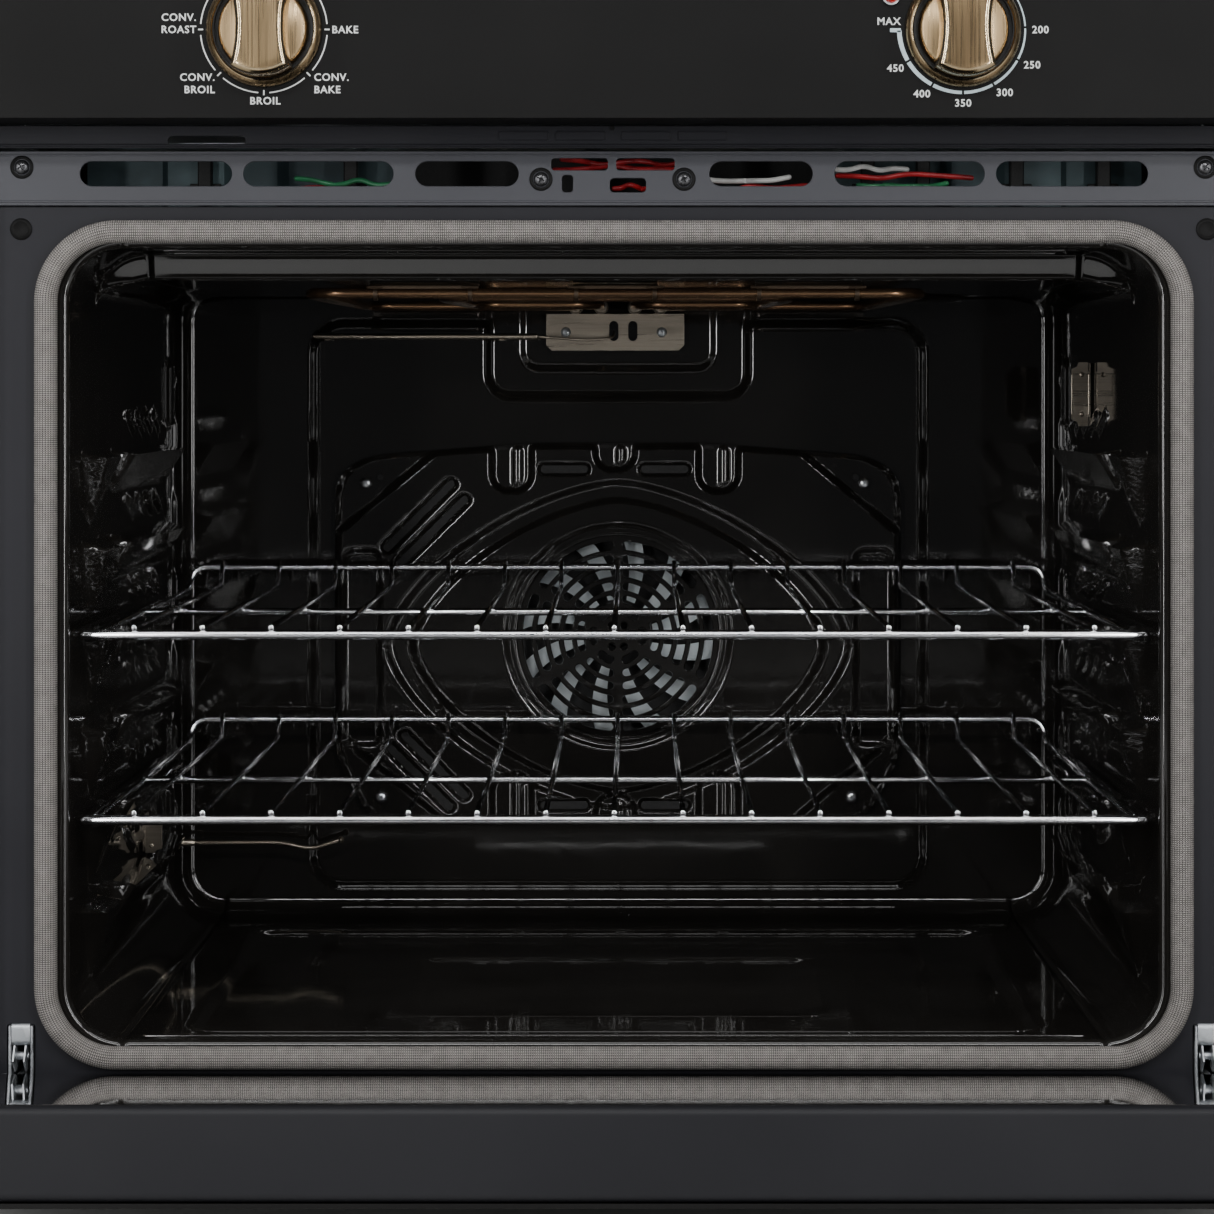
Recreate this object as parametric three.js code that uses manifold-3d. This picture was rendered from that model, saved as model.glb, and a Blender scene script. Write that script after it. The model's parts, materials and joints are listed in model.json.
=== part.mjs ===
// A 30-inch built-in wall oven: galvanised chassis, enamelled cavity with two chrome racks, drop-down door,
// control fascia with two rotary controls, three electric elements, convection fan and cooling blower.
// Millimetres. +X is right and -Y is the front (the door side) as one faces the oven; +Z is up.
// The origin is the centre of the underside of the base pan. The door is drawn at its open stop.
import * as THREE from "three";
import { mergeVertices } from "three/addons/utils/BufferGeometryUtils.js";
import Module from "manifold-3d";

const wasm = await Module();
wasm.setup();

// ---------- driving dimensions ----------
const FACE_WIDTH = 756; // over the mounting trims and the fascia
const FACE_HEIGHT = 710;
const CHASSIS = { width: 712, depth: 576, height: 669.5 };
const FRONT = -CHASSIS.depth / 2; // the front frame's outer face; depths below are measured back from it
const SHEET = 1.2; // steel sheet thickness
const GAP = 0.3; // between neighbouring sheets

const CAVITY = { half: 311, floor: 84.4, ceiling: 536.9, depth: 470, corner: 32 };
const GASKET = { half: 321, bottom: 77.5, top: 544.3, radius: 6.5, corner: 40 };
const RACK_PITCH = 53.3;
const LOWEST_RACK = 153.7; // height of a rack's front rail in the lowest position
const RACK_POSITIONS = 6;

const STRIP = { bottom: 559.2, top: 590, proud: 3 }; // the ventilation strip over the cavity
const FASCIA = { bottom: 604.5, proud: 52.5, sheet: 1.5 };
const KNOB = { x: 192.5, z: 653.3 };

const DOOR = {
  openAngle: THREE.MathUtils.degToRad(79.6), // from closed to the open stop
  pivotProud: 22.5, // pivot axis in front of the front frame
  pivotZ: 62,
  thickness: 40,
  innerFace: 10, // inner glass face behind the pivot, with the door closed
  top: 538.5, // above the pivot
  bottom: -10,
  half: 372,
};
const HINGE_X = 336;
const FRAME_HALF = 352; // front frame, ventilation strip and lower vent trim
const TRIM = { proud: 7, screwX: 367, screwHeights: [70, 300, 530], hole: 2.6 };
const VENT_TRIM = { proud: 8, height: 28, intakes: 14, pitch: 46 };

// Each slot is [x, z, width, height]; the large ones are repeated on the other side.
const STRIP_SLOTS = [
  [259.2, 577.2, 86, 14],
  [167.3, 577.2, 85, 14],
  [83.2, 577.2, 58.5, 14],
];
const STRIP_SMALL_SLOTS = [
  [-19.5, 582.6, 32, 6.8],
  [17.8, 582.6, 33, 6.8],
  [-26.3, 571.6, 6.2, 9.6],
  [7.9, 570.7, 20.4, 7.9],
];
const STRIP_SCREWS = [
  [-335, 580.9],
  [-41.3, 574.1],
  [39.6, 574.1],
  [334.5, 580.9],
];
const LIP_SLOT = [-229.6, 595.5, 43.7, 5];
const HINGE_SLOT = { half: 7.9, bottom: 44, top: 95.5 };

const PILOT = { x: 152.9, z: 671.7, radius: 5.2 };
const HOUSING = { half: 335, back: 125, bottom: 594, top: 664 };
const SWITCH_HALF = 20;

// Depths are spans measured back from the front frame.
const FRONT_BOSS = [58, 112];
const REAR_LEDGE = [165, 395];
const LEDGE_REACH = 16; // of the rack supports, out of the side walls

const RACK = {
  half: 305,
  sideRail: 300,
  front: 30,
  back: 437,
  railRadius: 3,
  frameRadius: 2.4,
  wireRadius: 1.7,
  wires: 15,
  pitch: 39.5,
  crossBar: 222,
  rise: 13,
};

const ELEMENT_RADIUS = 3.6;
const BROIL_Z = 512;
const BROIL_OUTER = { half: 190.5, front: 150, fromWall: 34, tail: 30, bend: 24 };
const BROIL_INNER = { half: 112, front: 220, fromWall: 72, tail: 12, bend: 20 };
const BROIL_PLATE = { half: 49, bottom: 483.4, top: 509.6, x: -2 };
const HANGER = { trays: [[-150, -84], [-26, 26], [86, 151]], front: 145.5, back: 168, legAt: 164, lip: 4 };
const BAKE = { outer: 220, inner: 80, tail: 20, front: 110, cross: 330, back: 400, end: 465, bend: 22 };

const FAN = { z: 281.6, cupRadius: 118, cupDepth: 34, wheelRadius: 74, ringRadius: 98, blades: 16 };
const BAFFLE = { half: 200, bottom: 150, top: 418, proud: 15 };
const BAFFLE_FEET = [
  [-178, 390],
  [174, 390],
  [-167, 168],
  [165, 168],
];
// The grille's rings of openings: inner radius, outer radius, how many.
const GRILLE_RINGS = [
  [28, 36, 6],
  [42, 50, 8],
  [56, 66, 10],
];
const MOTOR = { radius: 36, length: 52, bracket: 60, bracketHalfHeight: 16, bore: 4.2 };
const LAMP = { x: 205, depth: 410, radius: 29 };
const WALL_CLIP = { from: 283, to: 305, reach: 14.2, upper: [431, 474], lower: [152.5, 178] };
const BLOWER = { depth: 430, z: 612, half: 95, radius: 32, vanes: 12 };
const CONDUIT = { x: 270, z: 630, radius: 11 };
const INSULATION = { front: 56, back: 500, half: 340, bottom: 48, top: 562, corner: 45 };
const INSULATION_BORE = { half: 315, bottom: 70, top: 541, corner: 34 };

// ---------- materials ----------
const finish = (color, roughness, metalness = 0, extra = {}) =>
  new THREE.MeshStandardMaterial({ color, roughness, metalness, ...extra });
const charcoalPaint = finish(0x3e3f45, 0.45, 0.2);
const blackPaint = finish(0x1b1b1b, 0.5);
const enamel = finish(0x0b0a0a, 0.08);
const zincSheet = finish(0xa9adb0, 0.4, 0.9);
const stainless = finish(0x9b9284, 0.35, 1);
const chrome = finish(0xdadcde, 0.08, 1);
const bronze = finish(0x9c8358, 0.3, 1);
const elementSheath = finish(0x6b5238, 0.45, 0.8);
const glassFibre = finish(0x8a8682, 0.9);
const darkGlass = finish(0x0c0c0e, 0.03, 0, { transparent: true, opacity: 0.6 });
const clearGlass = finish(0xd8dcdc, 0.05, 0, { transparent: true, opacity: 0.4 });
const redLens = finish(0xb01818, 0.15);
const plasticWhite = finish(0xcfcdc4, 0.6);
const mineralWool = finish(0xb9ad8c, 0.95);

// ---------- geometry helpers ----------
function toSolid(geometry) {
  const bare = geometry.clone();
  for (const name of Object.keys(bare.attributes)) {
    if (name !== "position") bare.deleteAttribute(name);
  }
  const merged = mergeVertices(bare, 1e-4);
  const vertProperties = merged.attributes.position.array;
  const triVerts = new Uint32Array(merged.index.array);
  return new wasm.Manifold(new wasm.Mesh({ numProp: 3, vertProperties, triVerts }));
}

function toGeometry(solid) {
  const mesh = solid.getMesh();
  const positions = new Float32Array(mesh.numVert * 3);
  for (let i = 0; i < mesh.numVert; i += 1) {
    const start = i * mesh.numProp;
    positions.set(mesh.vertProperties.subarray(start, start + 3), i * 3);
  }
  const geometry = new THREE.BufferGeometry();
  geometry.setAttribute("position", new THREE.BufferAttribute(positions, 3));
  geometry.setIndex(new THREE.BufferAttribute(mesh.triVerts, 1));
  geometry.computeVertexNormals();
  return geometry;
}

const join = (...pieces) => toGeometry(pieces.map(toSolid).reduce((all, piece) => all.add(piece)));

function cut(base, ...tools) {
  return toGeometry(tools.reduce((rest, tool) => rest.subtract(toSolid(tool)), toSolid(base)));
}

const common = (a, b) => toGeometry(toSolid(a).intersect(toSolid(b)));

function block([x0, x1], [y0, y1], [z0, z1]) {
  return new THREE.BoxGeometry(x1 - x0, y1 - y0, z1 - z0).translate(
    (x0 + x1) / 2,
    (y0 + y1) / 2,
    (z0 + z1) / 2,
  );
}

// A shape extruded along +Z from 0, with its holes cut out one at a time.
function extrude(shape, depth, curveSegments) {
  const slab = (path, thickness) =>
    new THREE.ExtrudeGeometry(new THREE.Shape(path.getPoints(curveSegments)), {
      bevelEnabled: false,
      curveSegments,
      depth: thickness,
    });
  const solid = slab(shape, depth);
  const holes = shape.holes.map((hole) => slab(hole, depth + 2).translate(0, 0, -1));
  return holes.length ? cut(solid, ...holes) : solid;
}

// A shape drawn in X and Z, extruded along Y from y0 to y1.
function frontSheet(shape, [y0, y1], curveSegments = 6) {
  return extrude(shape, y1 - y0, curveSegments).rotateX(Math.PI / 2).translate(0, y1, 0);
}

// A shape drawn in Y and Z, extruded along X from x0 to x1.
function sideSheet(shape, [x0, x1], curveSegments = 6) {
  const turn = new THREE.Matrix4().makeBasis(
    new THREE.Vector3(0, 1, 0),
    new THREE.Vector3(0, 0, 1),
    new THREE.Vector3(1, 0, 0),
  );
  return extrude(shape, x1 - x0, curveSegments).applyMatrix4(turn).translate(x0, 0, 0);
}

// A shape drawn in X and Y, extruded along Z from z0 to z1.
function flatSheet(shape, [z0, z1], curveSegments = 6) {
  return extrude(shape, z1 - z0, curveSegments).translate(0, 0, z0);
}

function roundedRectangle([x0, x1], [y0, y1], r) {
  const shape = new THREE.Shape();
  shape.absarc(x1 - r, y0 + r, r, -Math.PI / 2, 0, false);
  shape.absarc(x1 - r, y1 - r, r, 0, Math.PI / 2, false);
  shape.absarc(x0 + r, y1 - r, r, Math.PI / 2, Math.PI, false);
  shape.absarc(x0 + r, y0 + r, r, Math.PI, 1.5 * Math.PI, false);
  shape.closePath();
  return shape;
}

function circle(x, y, r) {
  const shape = new THREE.Shape();
  shape.absarc(x, y, r, 0, 2 * Math.PI, false);
  return shape;
}

const polygon = (points) => new THREE.Shape(points.map(([x, y]) => new THREE.Vector2(x, y)));

// A slot centred on x, y with round ends, w long and h high.
const slot = (x, y, w, h) =>
  roundedRectangle([x - w / 2, x + w / 2], [y - h / 2, y + h / 2], Math.min(w, h) / 2 - 0.01);

function cylinder(axis, [x, y, z], radius, length, segments = 16) {
  const geometry = new THREE.CylinderGeometry(radius, radius, length, segments);
  if (axis === "x") geometry.rotateZ(Math.PI / 2);
  if (axis === "z") geometry.rotateX(Math.PI / 2);
  return geometry.translate(x, y, z);
}

// A path that passes through its points in equal steps of its parameter, so that an extrusion has a ring
// at each point.
class Bends extends THREE.Curve {
  constructor(points) {
    super();
    this.points = points;
  }
  getPoint(t) {
    const place = Math.min(Math.max(t, 0), 1) * (this.points.length - 1);
    const i = Math.min(Math.floor(place), this.points.length - 2);
    return this.points[i].clone().lerp(this.points[i + 1], place - i);
  }
  getPointAt(u) {
    return this.getPoint(u);
  }
  getTangentAt(u) {
    return this.getTangent(u);
  }
}

// Replaces each corner of a polyline with an arc-like bend of the given radius.
function bend(corners, radius, steps = 3) {
  const points = corners.map((corner) => new THREE.Vector3(...corner));
  const made = [points[0]];
  for (let i = 1; i < points.length - 1; i += 1) {
    const reach = Math.min(
      radius,
      points[i].distanceTo(points[i - 1]) / 2,
      points[i].distanceTo(points[i + 1]) / 2,
    );
    const before = points[i].clone().lerp(points[i - 1], reach / points[i].distanceTo(points[i - 1]));
    const after = points[i].clone().lerp(points[i + 1], reach / points[i].distanceTo(points[i + 1]));
    const arc = new THREE.QuadraticBezierCurve3(before, points[i], after);
    made.push(...arc.getPoints(steps));
  }
  made.push(points.at(-1));
  return made;
}

function rod(corners, radius, bendRadius = 0, sides = 6) {
  const points = bendRadius ? bend(corners, bendRadius) : corners.map((c) => new THREE.Vector3(...c));
  const section = polygon(
    Array.from({ length: sides }, (_, i) => {
      const angle = ((i + 0.5) / sides) * 2 * Math.PI;
      return [radius * Math.cos(angle), radius * Math.sin(angle)];
    }),
  );
  return new THREE.ExtrudeGeometry(section, {
    extrudePath: new Bends(points),
    steps: points.length - 1,
    bevelEnabled: false,
  });
}

const oven = new THREE.Group();
oven.name = "wall_oven";

function add(name, geometry, material, parent = oven) {
  const mesh = new THREE.Mesh(geometry, material);
  mesh.name = name;
  parent.add(mesh);
  return mesh;
}

const sides = [
  ["left", -1],
  ["right", 1],
];
const span = (side, near, far) => (side < 0 ? [-far, -near] : [near, far]);
const depth = (from, to) => [FRONT + from, FRONT + to];

// ---------- chassis ----------
function chassis() {
  const half = CHASSIS.width / 2;
  const inside = half - SHEET - GAP;
  const back = CHASSIS.depth;
  const flange = 18;

  add(
    "base_pan",
    cut(
      block([-inside, inside], depth(2, back - SHEET - GAP), [0, flange]),
      block([-inside + SHEET, inside - SHEET], depth(2 + SHEET, back - 2 * SHEET - GAP), [SHEET, flange + 1]),
    ),
    zincSheet,
  );

  const louvres = Array.from({ length: 6 }, (_, i) => slot(FRONT + 470, 430 + i * 14, 70, 5));
  for (const [name, side] of sides) {
    const outline = polygon([
      [FRONT + 2, 0],
      [FRONT + back, 0],
      [FRONT + back, CHASSIS.height - 1.5],
      [FRONT + 2, CHASSIS.height - 1.5],
    ]);
    outline.holes.push(...louvres);
    add(`${name}_side_panel`, sideSheet(outline, span(side, half - SHEET, half), 1), zincSheet);
  }

  const rear = polygon([
    [-inside, 0],
    [inside, 0],
    [inside, CHASSIS.height - 1.5],
    [-inside, CHASSIS.height - 1.5],
  ]);
  rear.holes.push(circle(0, FAN.z, 42), circle(CONDUIT.x, CONDUIT.z, CONDUIT.radius + 1.5));
  for (let i = 0; i < 3; i += 1) rear.holes.push(slot(-230, 600 + i * 16, 150, 6));
  add("rear_panel", frontSheet(rear, depth(back - SHEET, back), 4), zincSheet);

  const lid = block([-half, half], depth(20, back), [CHASSIS.height - SHEET, CHASSIS.height]);
  const vents = Array.from({ length: 7 }, (_, i) =>
    flatSheet(slot(-240 + i * 80, FRONT + 520, 50, 6), [CHASSIS.height - 2, CHASSIS.height + 1], 1),
  );
  add("top_cover", cut(lid, ...vents), zincSheet);
}

// ---------- front frame ----------
function frontFrame() {
  const half = FRAME_HALF;
  const boundary = GASKET.half - 0.6; // frame and cavity flange meet under the gasket
  const plate = roundedRectangle([-half, half], [30, STRIP.bottom - GAP], 1);
  plate.holes.push(
    roundedRectangle(
      [-boundary - GAP, boundary + GAP],
      [GASKET.bottom - GAP, GASKET.top + GAP],
      GASKET.corner,
    ),
  );
  for (const [, side] of sides) {
    const x = side * HINGE_X;
    plate.holes.push(
      polygon([
        [x - HINGE_SLOT.half, HINGE_SLOT.bottom],
        [x + HINGE_SLOT.half, HINGE_SLOT.bottom],
        [x + HINGE_SLOT.half, HINGE_SLOT.top],
        [x - HINGE_SLOT.half, HINGE_SLOT.top],
      ]),
      circle(x, 546, 4.8),
    );
  }
  add("front_frame", frontSheet(plate, depth(0, SHEET), 5), charcoalPaint);

  const flange = roundedRectangle([-boundary, boundary], [GASKET.bottom, GASKET.top], GASKET.corner);
  flange.holes.push(
    roundedRectangle([-CAVITY.half, CAVITY.half], [CAVITY.floor, CAVITY.ceiling], CAVITY.corner),
  );
  add("cavity_flange", frontSheet(flange, depth(0, SHEET), 5), enamel);

  const trimInner = half + GAP;
  const trimOuter = FACE_WIDTH / 2;
  for (const [name, side] of sides) {
    const across = span(side, trimInner, trimOuter);
    const outer = block(across, depth(-TRIM.proud, SHEET), [0, FASCIA.bottom - 1.5]);
    const hollow = block(
      span(side, trimInner + SHEET, trimOuter - SHEET),
      depth(-TRIM.proud + SHEET, 0),
      [-1, FASCIA.bottom],
    );
    const screwHoles = TRIM.screwHeights.map((z) =>
      cylinder("y", [side * TRIM.screwX, FRONT - 4, z], TRIM.hole, 14, 8),
    );
    add(`${name}_mounting_trim`, cut(outer, hollow, ...screwHoles), charcoalPaint);
  }

  const { proud, height, pitch } = VENT_TRIM;
  const channel = cut(
    block([-half, half], depth(-proud, SHEET), [0, height]),
    block([-half - 1, half + 1], depth(-proud + SHEET, SHEET + 1), [SHEET, height - SHEET]),
  );
  const firstIntake = (-(VENT_TRIM.intakes - 1) / 2) * pitch;
  const intakes = Array.from({ length: VENT_TRIM.intakes }, (_, i) =>
    frontSheet(slot(firstIntake + i * pitch, height / 2, pitch - 12, 5), depth(-proud - 2, -5), 1),
  );
  add("bottom_vent_trim", cut(channel, ...intakes), charcoalPaint);
}

function ventilationStrip() {
  const half = FRAME_HALF;
  const face = roundedRectangle([-half, half], [STRIP.bottom, STRIP.top], 1);
  for (const [x, z, w, h] of STRIP_SLOTS) face.holes.push(slot(x, z, w, h), slot(-x, z, w, h));
  for (const [x, z, w, h] of STRIP_SMALL_SLOTS) face.holes.push(slot(x, z, w, h));
  for (const [x, z] of STRIP_SCREWS) face.holes.push(circle(x, z, 2.2));
  add("vent_strip", frontSheet(face, depth(-STRIP.proud, -STRIP.proud + SHEET), 2), charcoalPaint);

  const lip = roundedRectangle([-half, half], [STRIP.top + 1.2, FASCIA.bottom - 0.6], 0.5);
  lip.holes.push(slot(...LIP_SLOT));
  add("duct_lip", frontSheet(lip, depth(-9, -9 + SHEET), 2), blackPaint);
}

// ---------- controls ----------
function knobGeometry() {
  const profile = [
    [0, 0],
    [25.6, 0],
    [25.6, 3],
    [24.4, 4.2],
    [23.2, 6],
    [22.8, 12],
    [20, 16],
    [14, 18.4],
    [0, 19.2],
  ].map(([r, h]) => new THREE.Vector2(r, h));
  const dome = new THREE.LatheGeometry(profile, 20).rotateX(Math.PI);
  const grip = new THREE.Shape();
  grip.moveTo(-11.5, -22);
  grip.quadraticCurveTo(-7, 0, -11.5, 22);
  grip.quadraticCurveTo(0, 24.5, 11.5, 22);
  grip.quadraticCurveTo(7, 0, 11.5, -22);
  grip.quadraticCurveTo(0, -24.5, -11.5, -22);
  const bar = frontSheet(grip, [-26, -2], 4);
  const shaft = cylinder("y", [0, 11, 0], 3, 28, 12);
  return join(dome, bar, shaft);
}

function controls() {
  const top = FACE_HEIGHT;
  const half = FACE_WIDTH / 2;
  const { bottom, proud, sheet } = FASCIA;
  const pan = cut(
    block([-half, half], depth(-proud, 1), [bottom, top]),
    block([-half + sheet, half - sheet], depth(-proud + sheet, 2), [bottom + sheet, top - sheet]),
    block([-half + 26, half - 26], depth(-10, 2), [bottom - 1, bottom + sheet + 1]),
    cylinder("y", [-KNOB.x, FRONT - proud, KNOB.z], 5, 8, 16),
    cylinder("y", [KNOB.x, FRONT - proud, KNOB.z], 5, 8, 16),
    cylinder("y", [PILOT.x, FRONT - proud, PILOT.z], PILOT.radius, 8, 16),
  );
  add("control_fascia", pan, blackPaint);

  const tray = cut(
    block([-HOUSING.half, HOUSING.half], depth(4, HOUSING.back), [HOUSING.bottom, HOUSING.top]),
    block(
      [-HOUSING.half + SHEET, HOUSING.half - SHEET],
      depth(3, HOUSING.back - SHEET),
      [HOUSING.bottom + SHEET, HOUSING.top + 1],
    ),
  );
  add("control_housing", tray, zincSheet);

  const behind = [FRONT - proud + sheet + GAP, FRONT - 8];
  const bore = (x) => cylinder("y", [x, FRONT - 40, KNOB.z], 3.6, 30, 12);
  const frontOf = behind[0];
  add(
    "function_switch",
    cut(
      join(
        block(
          [-KNOB.x - 22, -KNOB.x + 22],
          [frontOf, FRONT - 14],
          [KNOB.z - SWITCH_HALF, KNOB.z + SWITCH_HALF],
        ),
        block([-KNOB.x - 16, -KNOB.x + 16], [FRONT - 15, behind[1]], [KNOB.z - 14, KNOB.z + 14]),
      ),
      bore(-KNOB.x),
    ),
    plasticWhite,
  );
  add(
    "thermostat_body",
    cut(
      join(
        cylinder("y", [KNOB.x, (frontOf + FRONT - 16) / 2, KNOB.z], 21, FRONT - 16 - frontOf, 20),
        block([KNOB.x - 12, KNOB.x + 12], [FRONT - 20, behind[1]], [KNOB.z - 16, KNOB.z + 16]),
      ),
      bore(KNOB.x),
    ),
    plasticWhite,
  );
  const lens = new THREE.SphereGeometry(PILOT.radius - 0.3, 12, 8).scale(1, 0.8, 1);
  add(
    "pilot_lens",
    join(
      lens.translate(PILOT.x, FRONT - proud - 0.5, PILOT.z),
      cylinder("y", [PILOT.x, FRONT - proud + 8, PILOT.z], PILOT.radius - 1, 18, 12),
    ),
    redLens,
  );

  const ring = [
    [26.2, 0.3],
    [31.4, 0.3],
    [31.4, 2.5],
    [30, 5.5],
    [27.8, 6.4],
    [26.2, 5],
    [26.2, 0.3],
  ].map(([r, h]) => new THREE.Vector2(r, h));
  for (const [name, x] of [
    ["function", -KNOB.x],
    ["temperature", KNOB.x],
  ]) {
    const bezel = new THREE.LatheGeometry(ring, 24).rotateX(Math.PI);
    add(`${name}_bezel`, bezel, bronze).position.set(x, FRONT - proud, KNOB.z);
    add(`${name}_knob`, knobGeometry(), bronze).position.set(x, FRONT - proud - 0.5, KNOB.z);
  }
}

// ---------- cavity ----------
function rackLedges(side) {
  const wall = CAVITY.half + 0.4;
  const tip = CAVITY.half - LEDGE_REACH;
  const pieces = [];
  for (let i = 0; i < RACK_POSITIONS; i += 1) {
    const seat = LOWEST_RACK + i * RACK_PITCH - 2.2;
    const section = polygon(
      [
        [wall, seat],
        [wall, seat - 26],
        [tip, seat - 7],
        [tip, seat],
      ].map(([x, z]) => [side * x, z]),
    );
    for (const [from, to] of [FRONT_BOSS, REAR_LEDGE]) pieces.push(frontSheet(section, depth(from, to)));
  }
  return pieces;
}

function cavity() {
  const { half, floor, ceiling, corner } = CAVITY;
  const outer = roundedRectangle(
    [-half - SHEET, half + SHEET],
    [floor - SHEET, ceiling + SHEET],
    corner + SHEET,
  );
  outer.holes.push(roundedRectangle([-half, half], [floor, ceiling], corner));
  const shell = frontSheet(outer, depth(SHEET + GAP, CAVITY.depth - GAP), 5);
  const middle = (floor + ceiling) / 2;
  const split = half - corner;
  const lengthways = depth(-5, CAVITY.depth + 5);

  for (const [name, side] of sides) {
    const keep = block(span(side, split + GAP / 2, half + 10), lengthways, [0, ceiling + 10]);
    add(`cavity_${name}_wall`, join(common(shell, keep), ...rackLedges(side)), enamel);
  }
  const across = [-split + GAP / 2, split - GAP / 2];
  const lampHole = cylinder("z", [LAMP.x, FRONT + LAMP.depth, ceiling], LAMP.radius + GAP, 10, 20);
  add(
    "cavity_ceiling",
    cut(common(shell, block(across, lengthways, [middle, ceiling + 10])), lampHole),
    enamel,
  );
  add("cavity_floor", common(shell, block(across, lengthways, [floor - 10, middle])), enamel);

  const back = roundedRectangle([-half - 3, half + 3], [floor - 3, ceiling + 3], corner + 3);
  back.holes.push(circle(0, FAN.z, FAN.cupRadius - SHEET));
  const wall = FRONT + CAVITY.depth;
  const cupMiddle = wall + FAN.cupDepth / 2;
  const cup = cut(
    cylinder("y", [0, cupMiddle + 0.2, FAN.z], FAN.cupRadius, FAN.cupDepth - 0.4, 28),
    cylinder("y", [0, cupMiddle - SHEET, FAN.z], FAN.cupRadius - SHEET, FAN.cupDepth, 28),
    cylinder("y", [0, wall + FAN.cupDepth, FAN.z], 5, 20, 12),
  );
  add(
    "cavity_back",
    join(frontSheet(back, depth(CAVITY.depth, CAVITY.depth + SHEET), 4), cup),
    enamel,
  );
}

// ---------- racks ----------
function rackGeometry(z) {
  const wireZ = z + RACK.railRadius + RACK.wireRadius;
  const frameZ = wireZ - RACK.wireRadius - RACK.frameRadius;
  const [frontY, crossY, backY] = [RACK.front, RACK.crossBar, RACK.back].map((d) => FRONT + d);
  const overlap = 0.5; // the welds
  const pieces = [
    rod(
      [
        [-RACK.half, frontY, z],
        [RACK.half, frontY, z],
      ],
      RACK.railRadius,
      0,
      8,
    ),
    rod(
      [
        [-RACK.sideRail, frontY, frameZ],
        [-RACK.sideRail, backY - 7, frameZ],
        [-RACK.sideRail + 3, backY, wireZ + RACK.rise],
        [RACK.sideRail - 3, backY, wireZ + RACK.rise],
        [RACK.sideRail, backY - 7, frameZ],
        [RACK.sideRail, frontY, frameZ],
      ],
      RACK.frameRadius,
      8,
      6,
    ),
    rod(
      [
        [-RACK.sideRail, crossY, frameZ],
        [RACK.sideRail, crossY, frameZ],
      ],
      RACK.frameRadius,
      0,
      6,
    ),
  ];
  for (let i = 0; i < RACK.wires; i += 1) {
    const x = (i - (RACK.wires - 1) / 2) * RACK.pitch;
    pieces.push(
      rod(
        [
          [x, frontY - RACK.railRadius + overlap, wireZ - overlap],
          [x, backY - 10, wireZ - overlap],
          [x, backY - 3.4, wireZ + RACK.rise + 4],
        ],
        RACK.wireRadius,
        0,
        6,
      ),
    );
  }
  return join(...pieces);
}

function racks() {
  const at = (position) => LOWEST_RACK + position * RACK_PITCH;
  add("upper_rack", rackGeometry(at(3)), chrome);
  add("lower_rack", rackGeometry(at(1)), chrome);
}

// ---------- heating and air ----------
// A heating loop that leaves the back wall by two tails; seen from above.
function broilLoop({ half, front, fromWall, tail, bend: radius }) {
  const wall = FRONT + CAVITY.depth;
  const right = [
    [half, FRONT + front, BROIL_Z],
    [half - 12, wall - fromWall, BROIL_Z],
    [tail, wall - fromWall, BROIL_Z],
    [tail, wall - 4, BROIL_Z],
  ];
  const left = right.map(([x, y, z]) => [-x, y, z]).reverse();
  return rod([...left, ...right], ELEMENT_RADIUS, radius);
}

// Three trays that carry the broil element's front run, on legs from the ceiling.
function broilHanger() {
  const z = BROIL_Z + ELEMENT_RADIUS + GAP;
  const leg = [HANGER.legAt, HANGER.legAt + SHEET];
  const bar = block([HANGER.trays[0][0], HANGER.trays[2][1]], depth(...leg), [z, z + 3 * SHEET]);
  const pieces = HANGER.trays.flatMap(([from, to]) => [
    block([from, to], depth(HANGER.front, HANGER.back), [z, z + SHEET]),
    block([from, to], depth(HANGER.front, HANGER.front + SHEET), [z, z + HANGER.lip]),
    block([from + 4, from + 8], depth(...leg), [z, CAVITY.ceiling - GAP]),
    block([to - 8, to - 4], depth(...leg), [z, CAVITY.ceiling - GAP]),
  ]);
  return join(bar, ...pieces);
}

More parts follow.
